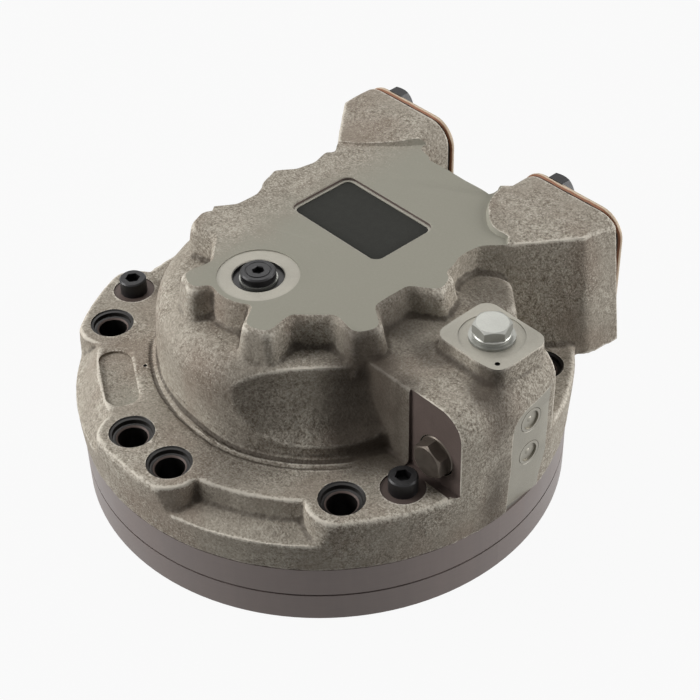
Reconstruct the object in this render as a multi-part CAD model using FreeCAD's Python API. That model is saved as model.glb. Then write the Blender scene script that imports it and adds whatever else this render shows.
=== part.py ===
"""Hydraulic drive motor, a radial-piston wheel motor with a six-lobe cam ring.

Millimetres, +Z along the motor's axis, origin on the axis in the plane of the
open mounting face. +Y points from the axis towards the two ports.
"""
import FreeCAD
import Part

import math
import os

from FreeCAD import Vector as V

# Turned steel cam ring
RING_RADIUS = 145.0
RING_HEIGHT = 40.0
RING_CHAMFER = 1.5
LINE_WIDTH = 1.2
LINE_DEPTH = 1.0
BOLT_EDGE = 16.5
PILOT_SETBACK = 12.5
PILOT_HEIGHT = 12.0
CAM_LOBES = 6
CAM_WALL = 6.0
CAM_THROW = 15.0
CAM_ARC_CENTRE = 65.0

# Bolting flange of the cast cover
FLANGE_THICKNESS = 38.0
FLANGE_OVERHANG = 1.0
FLANGE_DRAFT = 2.0
PAIR_HALF_ANGLE = 7.5
BOLT_HOLE_RADIUS = 8.75
BOLT_HOLE_CHAMFER = 1.0
COUNTERBORE_RADIUS = 13.0
COUNTERBORE_DEPTH = 9.0
COUNTERBORE_CHAMFER = 0.7
BOSS_RADIUS = 20.0
SCALLOP_EDGE = 15.0
SCALLOP_DEPTH = 17.0
SCALLOPS = ((157.5, 202.5), (277.5, 322.5))
SLOPE_SECTOR = (217.5, 262.5)
SLOPE_EDGE = 13.0
SLOPE_DROP = 21.0
POCKET_EDGE = 15.0
POCKET_WIDTH = 17.5
POCKET_ANGLES = (229.0, 240.5, 252.0)
POCKET_CORNER = 5.0
POCKET_DEPTH = 2.0

# Assembly screws and dowels
SCREW_RADIUS = 5.0
SCREW_HEAD_RADIUS = 8.2
SCREW_HEAD_HEIGHT = 10.0
SCREW_ENGAGEMENT = 26.0
SCREW_SPOTFACE_DEPTH = 1.0
SCREW_SOCKET_FLATS = 8.0
DOWEL_RADIUS = 5.0
DOWEL_LENGTH = 28.0

# Dome and lobed crown
DOME_FOOT = 30.5
DOME_DRAFT = 2.5
DOME_HEIGHT = 50.0
DOME_ROUND = 20.0
DOME_FLAT_DISTANCE = 80.0
DOME_FLAT_ANGLE = 319.5
CROWN_HEIGHT = 69.0
CROWN_ROOT_RADIUS = 62.0
LOBE_TIP_RADIUS = 80.0
LOBE_COUNT = 8
LOBE_HALF_WIDTH = 11.5
CROWN_ROUND = 6.0
BRIDGE_WIDTH = 72.0
BRIDGE_SETBACK = 24.2
CAST_DRAFT = 3.5
FACING_RADIUS = 106.0
WINDOW_LENGTH = 73.0
WINDOW_WIDTH = 46.5
WINDOW_DEPTH = 4.0
WINDOW_CENTRE = (-5.9, 38.2)
WINDOW_CORNER = 6.0
PLATE_THICKNESS = 1.2

# Port arms
PAD_SETBACK = 11.3
PORT_OFFSET = 67.4
PAD_WIDTH = 73.8
PORT_HEIGHT = 38.0
PAD_TOP = 75.0
ARM_UNDERCUT = 8.0
ARM_CORNER = 16.0
ARM_SLOPE_START = 75.0
ARM_DRAFT = 8.0
PORT_RADIUS = 12.5
PORT_DEPTH = 30.0
PORT_BOLT_X = 27.8
PORT_BOLT_Z = 57.2
PORT_BOLT_RADIUS = 6.0
PORT_BOLT_GRIP = 16.0
PORT_BOLT_FLATS = 18.0
PORT_BOLT_HEAD = 7.5
PORT_PLATE_THICKNESS = 2.5
GASKET_THICKNESS = 1.2
PAD_MILLING = 3.0
PASSAGE_RADIUS = 9.0

# Valve column
COLUMN_LOW_Y = -33.5
COLUMN_HIGH_Y = 44.0
COLUMN_HEIGHT = 52.0
COLUMN_ROUND = 16.0
VALVE_SETBACK = 30.5
VALVE_Y = 20.5
VALVE_PAD_LENGTH = 47.0
VALVE_PAD_WIDTH = 41.0
VALVE_PAD_HEIGHT = 62.0
VALVE_SPOTFACE_RADIUS = 18.3
VALVE_SPOTFACE_DEPTH = 0.5
SPOOL_RADIUS = 8.0
SPOOL_LENGTH = 44.0
SPOOL_TRAVEL = 6.0
SPOOL_SPRING_ROOM = 12.0
MILLED_FACE_DEPTH = 3.0
MILLED_FACE_HEIGHT = 72.0
MILLED_FACE_CORNER = 13.0
MILLED_FACE_REACH = 16.5
EXPANDER_RADIUS = 7.5
EXPANDER_DEPTH = 7.0
EXPANDER_SPACING = 24.0
EXPANDER_HEIGHT = 43.0
EXPANDER_OFFSET = 4.0
PILOT_WAY_RADIUS = 3.0
SIDE_MILLING = 1.5
SIDE_FACE_LENGTH = 38.0
SIDE_POCKET_DEPTH = 4.0
SIDE_PLUG_SETBACK = 19.0
SIDE_PLUG_HEIGHT = 55.0

# Screw plugs: thread radius, collar radius, across flats
SELECTOR_PLUG_THREAD = 9.0
SELECTOR_PLUG_COLLAR = 12.8
SELECTOR_PLUG_FLATS = 21.0
SIDE_PLUG_THREAD = 7.0
SIDE_PLUG_COLLAR = 9.8
SIDE_PLUG_FLATS = 16.0
PLUG_COLLAR_HEIGHT = 3.0
PLUG_HEX_HEIGHT = 7.0
PLUG_THREAD_LENGTH = 12.0
DRAIN_X = -5.5
DRAIN_Y = -40.0
DRAIN_SPOTFACE_RADIUS = 25.0
DRAIN_COUNTERBORE_RADIUS = 14.5
DRAIN_COUNTERBORE_DEPTH = 3.0
DRAIN_COLLAR_RADIUS = 10.8
DRAIN_COLLAR_HEIGHT = 5.0
DRAIN_THREAD_RADIUS = 8.0
DRAIN_SOCKET_FLATS = 8.0
WASHER_THICKNESS = 1.5

# Cylinder block
PISTON_COUNT = 8
PISTON_PHASE = 7.5
BLOCK_CLEARANCE = 3.0
BLOCK_BOTTOM = 3.0
BLOCK_HEIGHT = 53.0
BLOCK_LAND = 12.0
BLOCK_RELIEF_WIDTH = 8.0
BLOCK_RELIEF_DEPTH = 1.5
BORE_HEIGHT = 28.0
BORE_RUNOUT = 2.0
BORE_WALL = 4.735
SPLINE_TEETH = 22
SPLINE_MINOR_RADIUS = 34.0
SPLINE_DEPTH = 3.5
TIMING_HOLE_RADIUS = 4.0
TIMING_HOLE_INSET = 3.0

# Pistons and rollers
PISTON_TAIL = 26.0
PISTON_HOLLOW_RADIUS = 7.0
PISTON_HOLLOW_DEPTH = 7.0
ROLLER_RADIUS = 12.0
ROLLER_END_GAP = 0.7
ROLLER_CLEARANCE = 1.0
SHELL_THICKNESS = 1.0
CRADLE_LIP = 3.0
CRADLE_WALL = 4.0
RING_GROOVE_WIDTH = 3.0
RING_GROOVE_DEPTH = 2.0

# Oil distributor
DISTRIBUTOR_RADII = (68.0, 62.0, 56.0)
DISTRIBUTOR_STEP = 14.0
DISTRIBUTOR_BORE = 22.0
DISTRIBUTOR_SEAL_SECTION = 3.0
DISC_SPRING_RADII = (11.0, 17.0)
DISC_SPRING_HEIGHT = 3.0
DISC_SPRING_THICKNESS = 1.5
SELECTOR_SPRING_RADIUS = 5.5
SELECTOR_SPRING_WIRE = 1.3
SELECTOR_SPRING_TURNS = 5

# Seals and fits
SEAL_SECTION = 2.8
SEAL_ROOM = 0.15
FIT = 0.1
RUNNING_FIT = 0.05
FACE_GAP = 0.2

# Places worked out from the sizes above
BOLT_CIRCLE_RADIUS = RING_RADIUS - BOLT_EDGE
PILOT_RADIUS = BOLT_CIRCLE_RADIUS - PILOT_SETBACK
CAM_CREST_RADIUS = PILOT_RADIUS - CAM_WALL
CAM_VALLEY_RADIUS = CAM_CREST_RADIUS - CAM_THROW
CAM_ARC_RADIUS = CAM_CREST_RADIUS - CAM_ARC_CENTRE
ROLLER_REST_RADIUS = CAM_VALLEY_RADIUS - ROLLER_RADIUS - ROLLER_CLEARANCE
BLOCK_RADIUS = CAM_VALLEY_RADIUS - BLOCK_CLEARANCE
BORE_BOTTOM_RADIUS = ROLLER_REST_RADIUS - PISTON_TAIL - BORE_RUNOUT
PISTON_RADIUS = BORE_BOTTOM_RADIUS * math.tan(math.pi / PISTON_COUNT) - BORE_WALL / 2
SHELL_RADIUS = ROLLER_RADIUS + SHELL_THICKNESS
ROLLER_LENGTH = 2 * (math.sqrt(PISTON_RADIUS ** 2 - SHELL_RADIUS ** 2) - ROLLER_END_GAP)
TIMING_RADIUS = BORE_BOTTOM_RADIUS + TIMING_HOLE_INSET
DOME_RADIUS = BOLT_CIRCLE_RADIUS - DOME_FOOT
PAD_DISTANCE = RING_RADIUS - PAD_SETBACK
VALVE_X = RING_RADIUS - VALVE_SETBACK
MILLED_FACE_X = RING_RADIUS - MILLED_FACE_DEPTH
SIDE_FACE_START = RING_RADIUS - SIDE_FACE_LENGTH
SIDE_PLUG_X = RING_RADIUS - SIDE_PLUG_SETBACK
FLANGE_BOTTOM = RING_HEIGHT
FLANGE_TOP = RING_HEIGHT + FLANGE_THICKNESS
FLANGE_RADIUS = RING_RADIUS + FLANGE_OVERHANG + FLANGE_DRAFT
CROWN_TOP = FLANGE_TOP + CROWN_HEIGHT
SHOULDER = FLANGE_TOP + DOME_HEIGHT
COLUMN_TOP = FLANGE_TOP + COLUMN_HEIGHT
VALVE_PAD_TOP = FLANGE_TOP + VALVE_PAD_HEIGHT
ARM_BOTTOM = FLANGE_TOP - ARM_UNDERCUT
ARM_TOP = FLANGE_TOP + PAD_TOP
PORT_Z = FLANGE_TOP + PORT_HEIGHT
PILOT_TOP = RING_HEIGHT + PILOT_HEIGHT
BLOCK_TOP = BLOCK_BOTTOM + BLOCK_HEIGHT
SPOTFACE_Z = FLANGE_TOP - SCREW_SPOTFACE_DEPTH
SIDE_FACE_Y = COLUMN_LOW_Y + SIDE_MILLING
PAIR_CENTRES = [30.0 + 60.0 * k for k in range(6)]
SCREW_ANGLES = (157.5, 202.5, 337.5)
COLUMN_ANGLE = 22.5
FAR = 400.0


def polar(radius, degrees, z=0.0):
    """Point at a radius and an angle about the motor's axis."""
    a = math.radians(degrees)
    return V(radius * math.cos(a), radius * math.sin(a), z)


def cylinder(radius, z_low, z_high, x=0.0, y=0.0):
    """Upright cylinder between two heights."""
    return Part.makeCylinder(radius, z_high - z_low, V(x, y, z_low))


def box(x, y, z):
    """Box from three (low, high) pairs."""
    return Part.makeBox(x[1] - x[0], y[1] - y[0], z[1] - z[0], V(x[0], y[0], z[0]))


def turned(profile):
    """Solid of revolution about Z from (radius, height) points."""
    points = [V(r, 0, z) for r, z in profile]
    face = Part.Face(Part.makePolygon(points + points[:1]))
    return face.revolve(V(0, 0, 0), V(0, 0, 1), 360)


def at_angle(shape, degrees):
    """The shape turned about the motor's axis."""
    copy = shape.copy()
    copy.rotate(V(0, 0, 0), V(0, 0, 1), degrees)
    return copy


def hexagon(flats, z_low, z_high, x=0.0, y=0.0):
    """Upright hexagonal prism measured across its flats."""
    corner = flats / math.sqrt(3)
    points = [V(x, y, z_low) + polar(corner, 60 * k) for k in range(7)]
    return Part.Face(Part.makePolygon(points)).extrude(V(0, 0, z_high - z_low))


def grown(points, distances):
    """Polygon with each side moved outwards, side k running from point k."""
    count = len(points)
    lines = []
    for k in range(count):
        (ax, ay), (bx, by) = points[k], points[(k + 1) % count]
        length = math.hypot(bx - ax, by - ay)
        nx, ny = (by - ay) / length, (ax - bx) / length
        lines.append((nx, ny, nx * ax + ny * ay + distances[k]))
    corners = []
    for k in range(count):
        a, b = lines[k - 1], lines[k]
        det = a[0] * b[1] - a[1] * b[0]
        corners.append(((a[2] * b[1] - b[2] * a[1]) / det, (a[0] * b[2] - b[0] * a[2]) / det))
    return corners


def rounded(points, radius, z):
    """Closed wire at height z: the polygon with an arc in each corner."""
    count = len(points)
    corners = [V(x, y, z) for x, y in points]
    entries = []
    for k in range(count):
        here = corners[k]
        back = (corners[k - 1] - here).normalize()
        ahead = (corners[(k + 1) % count] - here).normalize()
        half = back.getAngle(ahead) / 2
        reach = radius / math.tan(half)
        middle = here + (back + ahead).normalize() * (radius / math.sin(half) - radius)
        entries.append((here + back * reach, middle, here + ahead * reach))
    edges = []
    for k in range(count):
        start, middle, end = entries[k]
        edges.append(Part.Arc(start, middle, end).toShape())
        edges.append(Part.LineSegment(end, entries[(k + 1) % count][0]).toShape())
    return Part.Wire(edges)


def cast_block(points, radius, z_low, z_high, draft, edge=0.0):
    """Cast form: drafted walls, corners rounded in plan and a soft top edge."""
    count = len(points)
    drafts = draft if isinstance(draft, (list, tuple)) else [draft] * count
    sections = [rounded(grown(points, drafts), radius, z_low)]
    slant = 1 - math.sqrt(0.5)
    for inset, drop in ((0, edge), (slant * edge, slant * edge), (edge, 0)) if edge else ((0, 0),):
        sections.append(rounded(grown(points, [-inset] * count), radius, z_high - drop))
    return Part.makeLoft(sections, True, True)


def coil(radius, wire, turns, z_low, z_high):
    """Compression spring of square wire between two heights."""
    height = z_high - z_low - wire
    path = Part.makeHelix(height / turns, height, radius)
    half = wire / 2
    corners = [(-half, -half), (half, -half), (half, half), (-half, half), (-half, -half)]
    section = Part.makePolygon([V(radius + r, 0, z) for r, z in corners])
    spring = Part.Wire(path.Edges).makePipeShell([section], True, True)
    spring.translate(V(0, 0, z_low + half))
    return spring


def square_ring(radius, z, section):
    """Seal ring of square section whose outer wall is at the radius."""
    low, high = z - section / 2, z + section / 2
    return turned([(radius - section, low), (radius, low), (radius, high), (radius - section, high)])


def cam_track(z_low, z_high):
    """Solid that fills the wavy track: an outward and an inward arc per lobe, each tangent to the next."""
    half_pitch = 180.0 / CAM_LOBES
    crest = CAM_ARC_CENTRE
    turn = 2 * crest * math.cos(math.radians(half_pitch))
    offset = CAM_ARC_RADIUS - CAM_VALLEY_RADIUS
    valley = (crest ** 2 - offset ** 2) / (turn + 2 * offset)
    valley_arc = valley - CAM_VALLEY_RADIUS
    share = CAM_ARC_RADIUS / (CAM_ARC_RADIUS + valley_arc)
    start = polar(crest, 0).multiply(1 - share) + polar(valley, half_pitch).multiply(share)
    bearing = math.degrees(math.atan2(start.y, start.x))
    radius = start.Length
    edges = []
    for k in range(CAM_LOBES):
        middle = 2 * half_pitch * k
        ends = [polar(radius, middle + a, z_low) for a in (-bearing, bearing, 2 * half_pitch - bearing)]
        crest = polar(CAM_CREST_RADIUS, middle, z_low)
        valley = polar(CAM_VALLEY_RADIUS, middle + half_pitch, z_low)
        edges.append(Part.Arc(ends[0], crest, ends[1]).toShape())
        edges.append(Part.Arc(ends[1], valley, ends[2]).toShape())
    return Part.Face(Part.Wire(edges)).extrude(V(0, 0, z_high - z_low))


def bolt_angles():
    """Angles of the through-holes: every pair position that no screw or column takes."""
    pairs = [c + side * PAIR_HALF_ANGLE for c in PAIR_CENTRES for side in (-1, 1)]
    return [a for a in pairs if a not in SCREW_ANGLES and a != COLUMN_ANGLE]


def cam_ring():
    """Steel ring with the wavy roller track, spigot, seal grooves and bolt holes."""
    groove_low = RING_HEIGHT / 2 - LINE_WIDTH / 2
    groove_high = RING_HEIGHT / 2 + LINE_WIDTH / 2
    inner = CAM_VALLEY_RADIUS - 3
    ring = turned([
        (inner, 0), (RING_RADIUS - RING_CHAMFER, 0), (RING_RADIUS, RING_CHAMFER),
        (RING_RADIUS, groove_low), (RING_RADIUS - LINE_DEPTH, groove_low),
        (RING_RADIUS - LINE_DEPTH, groove_high), (RING_RADIUS, groove_high),
        (RING_RADIUS, RING_HEIGHT), (PILOT_RADIUS, RING_HEIGHT), (PILOT_RADIUS, PILOT_TOP),
        (inner, PILOT_TOP)])
    ring = ring.cut(cam_track(-1, PILOT_TOP + 1))
    depth = SEAL_SECTION + SEAL_ROOM
    seal_z = RING_HEIGHT + PILOT_HEIGHT / 2
    radial_groove = turned([
        (PILOT_RADIUS - depth, seal_z - depth / 2), (PILOT_RADIUS + 1, seal_z - depth / 2),
        (PILOT_RADIUS + 1, seal_z + depth / 2), (PILOT_RADIUS - depth, seal_z + depth / 2)])
    seal_r = (PILOT_RADIUS + CAM_CREST_RADIUS) / 2 + 1
    face_groove = turned([
        (seal_r - depth / 2, -1), (seal_r + depth / 2, -1), (seal_r + depth / 2, depth),
        (seal_r - depth / 2, depth)])
    ring = ring.cut([radial_groove, face_groove])
    holes = []
    for angle in bolt_angles():
        spot = polar(BOLT_CIRCLE_RADIUS, angle)
        holes.append(cylinder(BOLT_HOLE_RADIUS, -1, RING_HEIGHT + 1, spot.x, spot.y))
    for angle in SCREW_ANGLES:
        spot = polar(BOLT_CIRCLE_RADIUS, angle)
        bottom = RING_HEIGHT - SCREW_ENGAGEMENT - 2
        holes.append(cylinder(SCREW_RADIUS + RUNNING_FIT, bottom, RING_HEIGHT + 1, spot.x, spot.y))
    for angle in (0, 180):
        spot = polar(BOLT_CIRCLE_RADIUS, angle)
        holes.append(cylinder(DOWEL_RADIUS + RUNNING_FIT, RING_HEIGHT - DOWEL_LENGTH / 2, RING_HEIGHT + 1,
                              spot.x, spot.y))
    ring = ring.cut(holes)
    seals = {
        "cover_seal": square_ring(PILOT_RADIUS - SEAL_ROOM / 2, seal_z, SEAL_SECTION),
        "case_seal": square_ring(seal_r + SEAL_SECTION / 2, depth / 2, SEAL_SECTION),
    }
    return ring, seals


def between_bosses(start, end, depth):
    """Sector outside the flange's bosses, from depth below its top upwards."""
    floor = FLANGE_TOP - depth
    sector = Part.makeCylinder(FLANGE_RADIUS + 10, depth + 5, V(0, 0, floor), V(0, 0, 1), end - start)
    sector = at_angle(sector, start)
    for angle in (start, end):
        spot = polar(BOLT_CIRCLE_RADIUS, angle, floor)
        sector = sector.cut(Part.makeCone(BOSS_RADIUS + 2, BOSS_RADIUS - 0.6, depth + 5, spot))
    return sector


def flange():
    """Bolting flange with its bosses, scallops, slope and shallow pocket, before drilling."""
    low = RING_RADIUS + FLANGE_OVERHANG
    body = turned([
        (0, FLANGE_BOTTOM), (low - 1, FLANGE_BOTTOM), (low, FLANGE_BOTTOM + 1),
        (FLANGE_RADIUS, FLANGE_TOP - 3), (FLANGE_RADIUS - 0.9, FLANGE_TOP - 0.9),
        (FLANGE_RADIUS - 3, FLANGE_TOP), (0, FLANGE_TOP)])
    for start, end in SCALLOPS:
        floor = FLANGE_TOP - SCALLOP_DEPTH
        inner = RING_RADIUS - SCALLOP_EDGE
        foot = Part.makeCone(inner + 3, inner - 1, SCALLOP_DEPTH + 5, V(0, 0, floor))
        body = body.cut(between_bosses(start, end, SCALLOP_DEPTH).cut(foot))
    start, end = SLOPE_SECTOR
    top = RING_RADIUS - SLOPE_EDGE
    foot = Part.makeCone(top + 18, top, SLOPE_DROP, V(0, 0, FLANGE_TOP - SLOPE_DROP))
    foot = foot.fuse(cylinder(top, FLANGE_TOP - 1, FLANGE_TOP + 6))
    body = body.cut(between_bosses(start, end, SLOPE_DROP).cut(foot))
    outline = []
    outer = RING_RADIUS - POCKET_EDGE
    for radius, angles in ((outer - POCKET_WIDTH, POCKET_ANGLES[::-1]), (outer, POCKET_ANGLES)):
        outline += [(polar(radius, a).x, polar(radius, a).y) for a in angles]
    pocket = Part.Face(rounded(outline, POCKET_CORNER, FLANGE_TOP - POCKET_DEPTH))
    body = body.cut(pocket.extrude(V(0, 0, POCKET_DEPTH + 1)))
    for radius in (DOME_RADIUS + 2.5, DOME_RADIUS + 6.5):
        body = body.cut(turned([(radius - 1, FLANGE_TOP + 1), (radius - 1, FLANGE_TOP - 1),
                                (radius + 1, FLANGE_TOP - 1), (radius + 1, FLANGE_TOP + 1)]))
    return body


def dome():
    """Low dome with a soft shoulder and one flat wall."""
    top_radius = DOME_RADIUS - DOME_DRAFT
    corner_z = SHOULDER - DOME_ROUND
    corner_r = top_radius - DOME_ROUND
    profile = [V(0, 0, FLANGE_BOTTOM), V(DOME_RADIUS - 8, 0, FLANGE_BOTTOM),
               V(DOME_RADIUS + 1, 0, FLANGE_TOP - 2), V(DOME_RADIUS - 0.5, 0, FLANGE_TOP + 2),
               V(top_radius, 0, corner_z)]
    slant = math.radians(45)
    middle = V(corner_r + DOME_ROUND * math.cos(slant), 0, corner_z + DOME_ROUND * math.sin(slant))
    edges = [Part.LineSegment(profile[k], profile[k + 1]).toShape() for k in range(4)]
    edges.append(Part.Arc(profile[4], middle, V(corner_r, 0, SHOULDER)).toShape())
    edges.append(Part.LineSegment(V(corner_r, 0, SHOULDER), V(0, 0, SHOULDER)).toShape())
    edges.append(Part.LineSegment(V(0, 0, SHOULDER), profile[0]).toShape())
    body = Part.Face(Part.Wire(edges)).revolve(V(0, 0, 0), V(0, 0, 1), 360)
    wall = DOME_FLAT_DISTANCE
    foot = FLANGE_TOP + 5
    cut = [V(wall, 0, SHOULDER + 5), V(wall, 0, SHOULDER - 14), V(wall + 3, 0, SHOULDER - 26),
           V(wall + 8, 0, SHOULDER - 36), V(DOME_RADIUS + 2, 0, foot), V(DOME_RADIUS + 40, 0, foot),
           V(DOME_RADIUS + 40, 0, SHOULDER + 5)]
    tool = Part.Face(Part.makePolygon(cut + cut[:1])).extrude(V(0, 2 * DOME_RADIUS, 0))
    tool.translate(V(0, -DOME_RADIUS, 0))
    return body.cut(at_angle(tool, DOME_FLAT_ANGLE))


def crown():
    """Lobed top of the dome: one soft lobe every 45 degrees and a boss round the drain."""
    outline = []
    step = 360.0 / LOBE_COUNT
    tip = math.degrees(math.atan(0.8 * LOBE_HALF_WIDTH / LOBE_TIP_RADIUS))
    root = math.degrees(math.atan(1.15 * LOBE_HALF_WIDTH / CROWN_ROOT_RADIUS))
    for k in range(LOBE_COUNT):
        angle = step * (k + 0.5)
        for radius, turn in ((CROWN_ROOT_RADIUS, -root), (LOBE_TIP_RADIUS, -tip),
                             (LOBE_TIP_RADIUS, tip), (CROWN_ROOT_RADIUS, root)):
            spot = polar(radius, angle + turn)
            outline.append((spot.x, spot.y))
    body = cast_block(outline, CROWN_ROUND, SHOULDER - 8, CROWN_TOP, CAST_DRAFT, 3.0)
    boss_radius = DRAIN_SPOTFACE_RADIUS + 1.5
    boss = Part.makeCone(boss_radius + CAST_DRAFT, boss_radius, CROWN_TOP - SHOULDER + 8,
                         V(DRAIN_X, DRAIN_Y, SHOULDER - 8))
    half, end = BRIDGE_WIDTH / 2, PAD_DISTANCE - BRIDGE_SETBACK
    outline = [(-half, 30), (half, 30), (half - 3, end), (3 - half, end)]
    back = cast_block(outline, 6.0, FLANGE_TOP - 8, CROWN_TOP, 3.0, 3.0)
    return body.fuse([boss, back])


def arm():
    """Port arm on the +X side: drafted walls, sloping top and a milled end."""
    inner = PORT_OFFSET - PAD_WIDTH / 2
    outer = PORT_OFFSET + PAD_WIDTH / 2
    reach = PAD_DISTANCE + 30
    plan = [(inner, 20), (40, 45), (outer - 5.5, PAD_DISTANCE - 23), (outer + 1, reach), (inner, reach)]
    walls = [2.0, ARM_DRAFT, ARM_DRAFT + 3, 0.0, 0.5]
    body = cast_block(plan, 9.0, ARM_BOTTOM, ARM_TOP + 8, walls)
    low, high = inner - 1, outer + 20
    foot = ARM_BOTTOM - 40
    section = rounded([(low, foot), (high, foot), (outer + 0.8, ARM_TOP), (low, ARM_TOP)], ARM_CORNER, 0)
    prism = Part.Face(section).extrude(V(0, 0, reach + 40))
    prism.rotate(V(0, 0, 0), V(1, 0, 0), 90)
    prism.translate(V(0, reach + 20, 0))
    body = body.common(prism)
    slope = [V(0, ARM_SLOPE_START, CROWN_TOP), V(0, PAD_DISTANCE, ARM_TOP), V(0, reach + 9, ARM_TOP),
             V(0, reach + 9, FAR), V(0, -30, FAR), V(0, -30, CROWN_TOP)]
    above = Part.Face(Part.makePolygon(slope + slope[:1])).extrude(V(FAR, 0, 0))
    beyond = box((0, FAR), (PAD_DISTANCE, FAR), (0, FAR))
    return body.cut([above, beyond])


def column():
    """Valve column between the crown and the flange's rim, with its machined pad."""
    plan = [(50, COLUMN_LOW_Y), (FLANGE_RADIUS + 30, COLUMN_LOW_Y), (FLANGE_RADIUS + 30, COLUMN_HIGH_Y),
            (50, COLUMN_HIGH_Y)]
    body = cast_block(plan, 8.0, FLANGE_BOTTOM, COLUMN_TOP + 5, [1.5, 0, 2.0, 0], 0)
    edge = FLANGE_RADIUS
    arc = COLUMN_ROUND
    cut_back = arc * (1 - math.sqrt(0.5))
    corner = V(edge - cut_back, 0, COLUMN_TOP - cut_back)
    points = [V(0, 0, FLANGE_BOTTOM), V(edge - FLANGE_DRAFT, 0, FLANGE_BOTTOM), V(edge, 0, FLANGE_TOP),
              V(edge, 0, COLUMN_TOP - arc)]
    edges = [Part.LineSegment(points[k], points[k + 1]).toShape() for k in range(3)]
    edges.append(Part.Arc(points[3], corner, V(edge - arc, 0, COLUMN_TOP)).toShape())
    edges.append(Part.LineSegment(V(edge - arc, 0, COLUMN_TOP), V(0, 0, COLUMN_TOP)).toShape())
    edges.append(Part.LineSegment(V(0, 0, COLUMN_TOP), points[0]).toShape())
    skirt = Part.Face(Part.Wire(edges)).revolve(V(0, 0, 0), V(0, 0, 1), 360)
    body = body.common(skirt)
    half_x, half_y = VALVE_PAD_LENGTH / 2, VALVE_PAD_WIDTH / 2
    pad_plan = [(VALVE_X - half_x, VALVE_Y - half_y), (VALVE_X + half_x, VALVE_Y - half_y),
                (VALVE_X + half_x, VALVE_Y + half_y), (VALVE_X - half_x, VALVE_Y + half_y)]
    pad = cast_block(pad_plan, 8.0, FLANGE_TOP, VALVE_PAD_TOP, 3.0)
    web_plan = [(45, 20), (96, 30), (99, 58), (78, 76), (45, 60)]
    web = cast_block(web_plan, 8.0, FLANGE_TOP - 5, SHOULDER + 1, 5.0, 4.0)
    return body.fuse([pad.common(cylinder(FLANGE_RADIUS, 0, FAR)), web])


def port_passages(side):
    """Port bore, its four threaded holes and the slanting way to the distributor."""
    x = side * PORT_OFFSET
    turn = V(0, -1, 0)
    tools = [Part.makeCylinder(PORT_RADIUS, PORT_DEPTH, V(x, PAD_DISTANCE, PORT_Z), turn)]
    start = V(x, PAD_DISTANCE - PORT_DEPTH + 2, PORT_Z)
    groove_z = BLOCK_TOP + FACE_GAP + DISTRIBUTOR_STEP * (0.5 if side > 0 else 1.5)
    end = polar(DISTRIBUTOR_RADII[1] - 2, 90 - side * 34, groove_z)
    way = end - start
    tools.append(Part.makeCylinder(PASSAGE_RADIUS, way.Length, start, way))
    for dx, dz in port_bolt_places(4):
        tools.append(Part.makeCylinder(PORT_BOLT_RADIUS + RUNNING_FIT, PORT_BOLT_GRIP + 4,
                                       V(x + dx, PAD_DISTANCE, PORT_Z + dz), turn))
    return tools


def port_bolt_places(count):
    """Offsets of the port bolts from the port's centre; two hold a shipping plate."""
    corners = [(-PORT_BOLT_X / 2, PORT_BOLT_Z / 2), (PORT_BOLT_X / 2, -PORT_BOLT_Z / 2),
               (PORT_BOLT_X / 2, PORT_BOLT_Z / 2), (-PORT_BOLT_X / 2, -PORT_BOLT_Z / 2)]
    return corners[:count]


def distributor_steps(extra):
    """Stepped profile of the distributor's outside, wider by extra."""
    z = BLOCK_TOP + FACE_GAP
    profile = []
    for radius in DISTRIBUTOR_RADII:
        profile += [(radius + extra, z), (radius + extra, z + DISTRIBUTOR_STEP + extra)]
        z += DISTRIBUTOR_STEP
    return profile, z


def cover_hollow():
    """Everything turned out of the cover from its open side."""
    tools = [cylinder(PILOT_RADIUS + FIT, FLANGE_BOTTOM - 1, PILOT_TOP + FIT),
             cylinder(BLOCK_RADIUS + 2, FLANGE_BOTTOM - 1, BLOCK_TOP + FACE_GAP + 0.5)]
    profile, top = distributor_steps(FIT)
    profile = [(0, BLOCK_TOP - 1), (DISTRIBUTOR_RADII[0] + FIT, BLOCK_TOP - 1)] + profile + [(0, top + FIT)]
    tools.append(turned(profile))
    tools.append(cylinder(DISC_SPRING_RADII[1] + 1, top - 1, top + DISC_SPRING_HEIGHT + FIT))
    return tools


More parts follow.
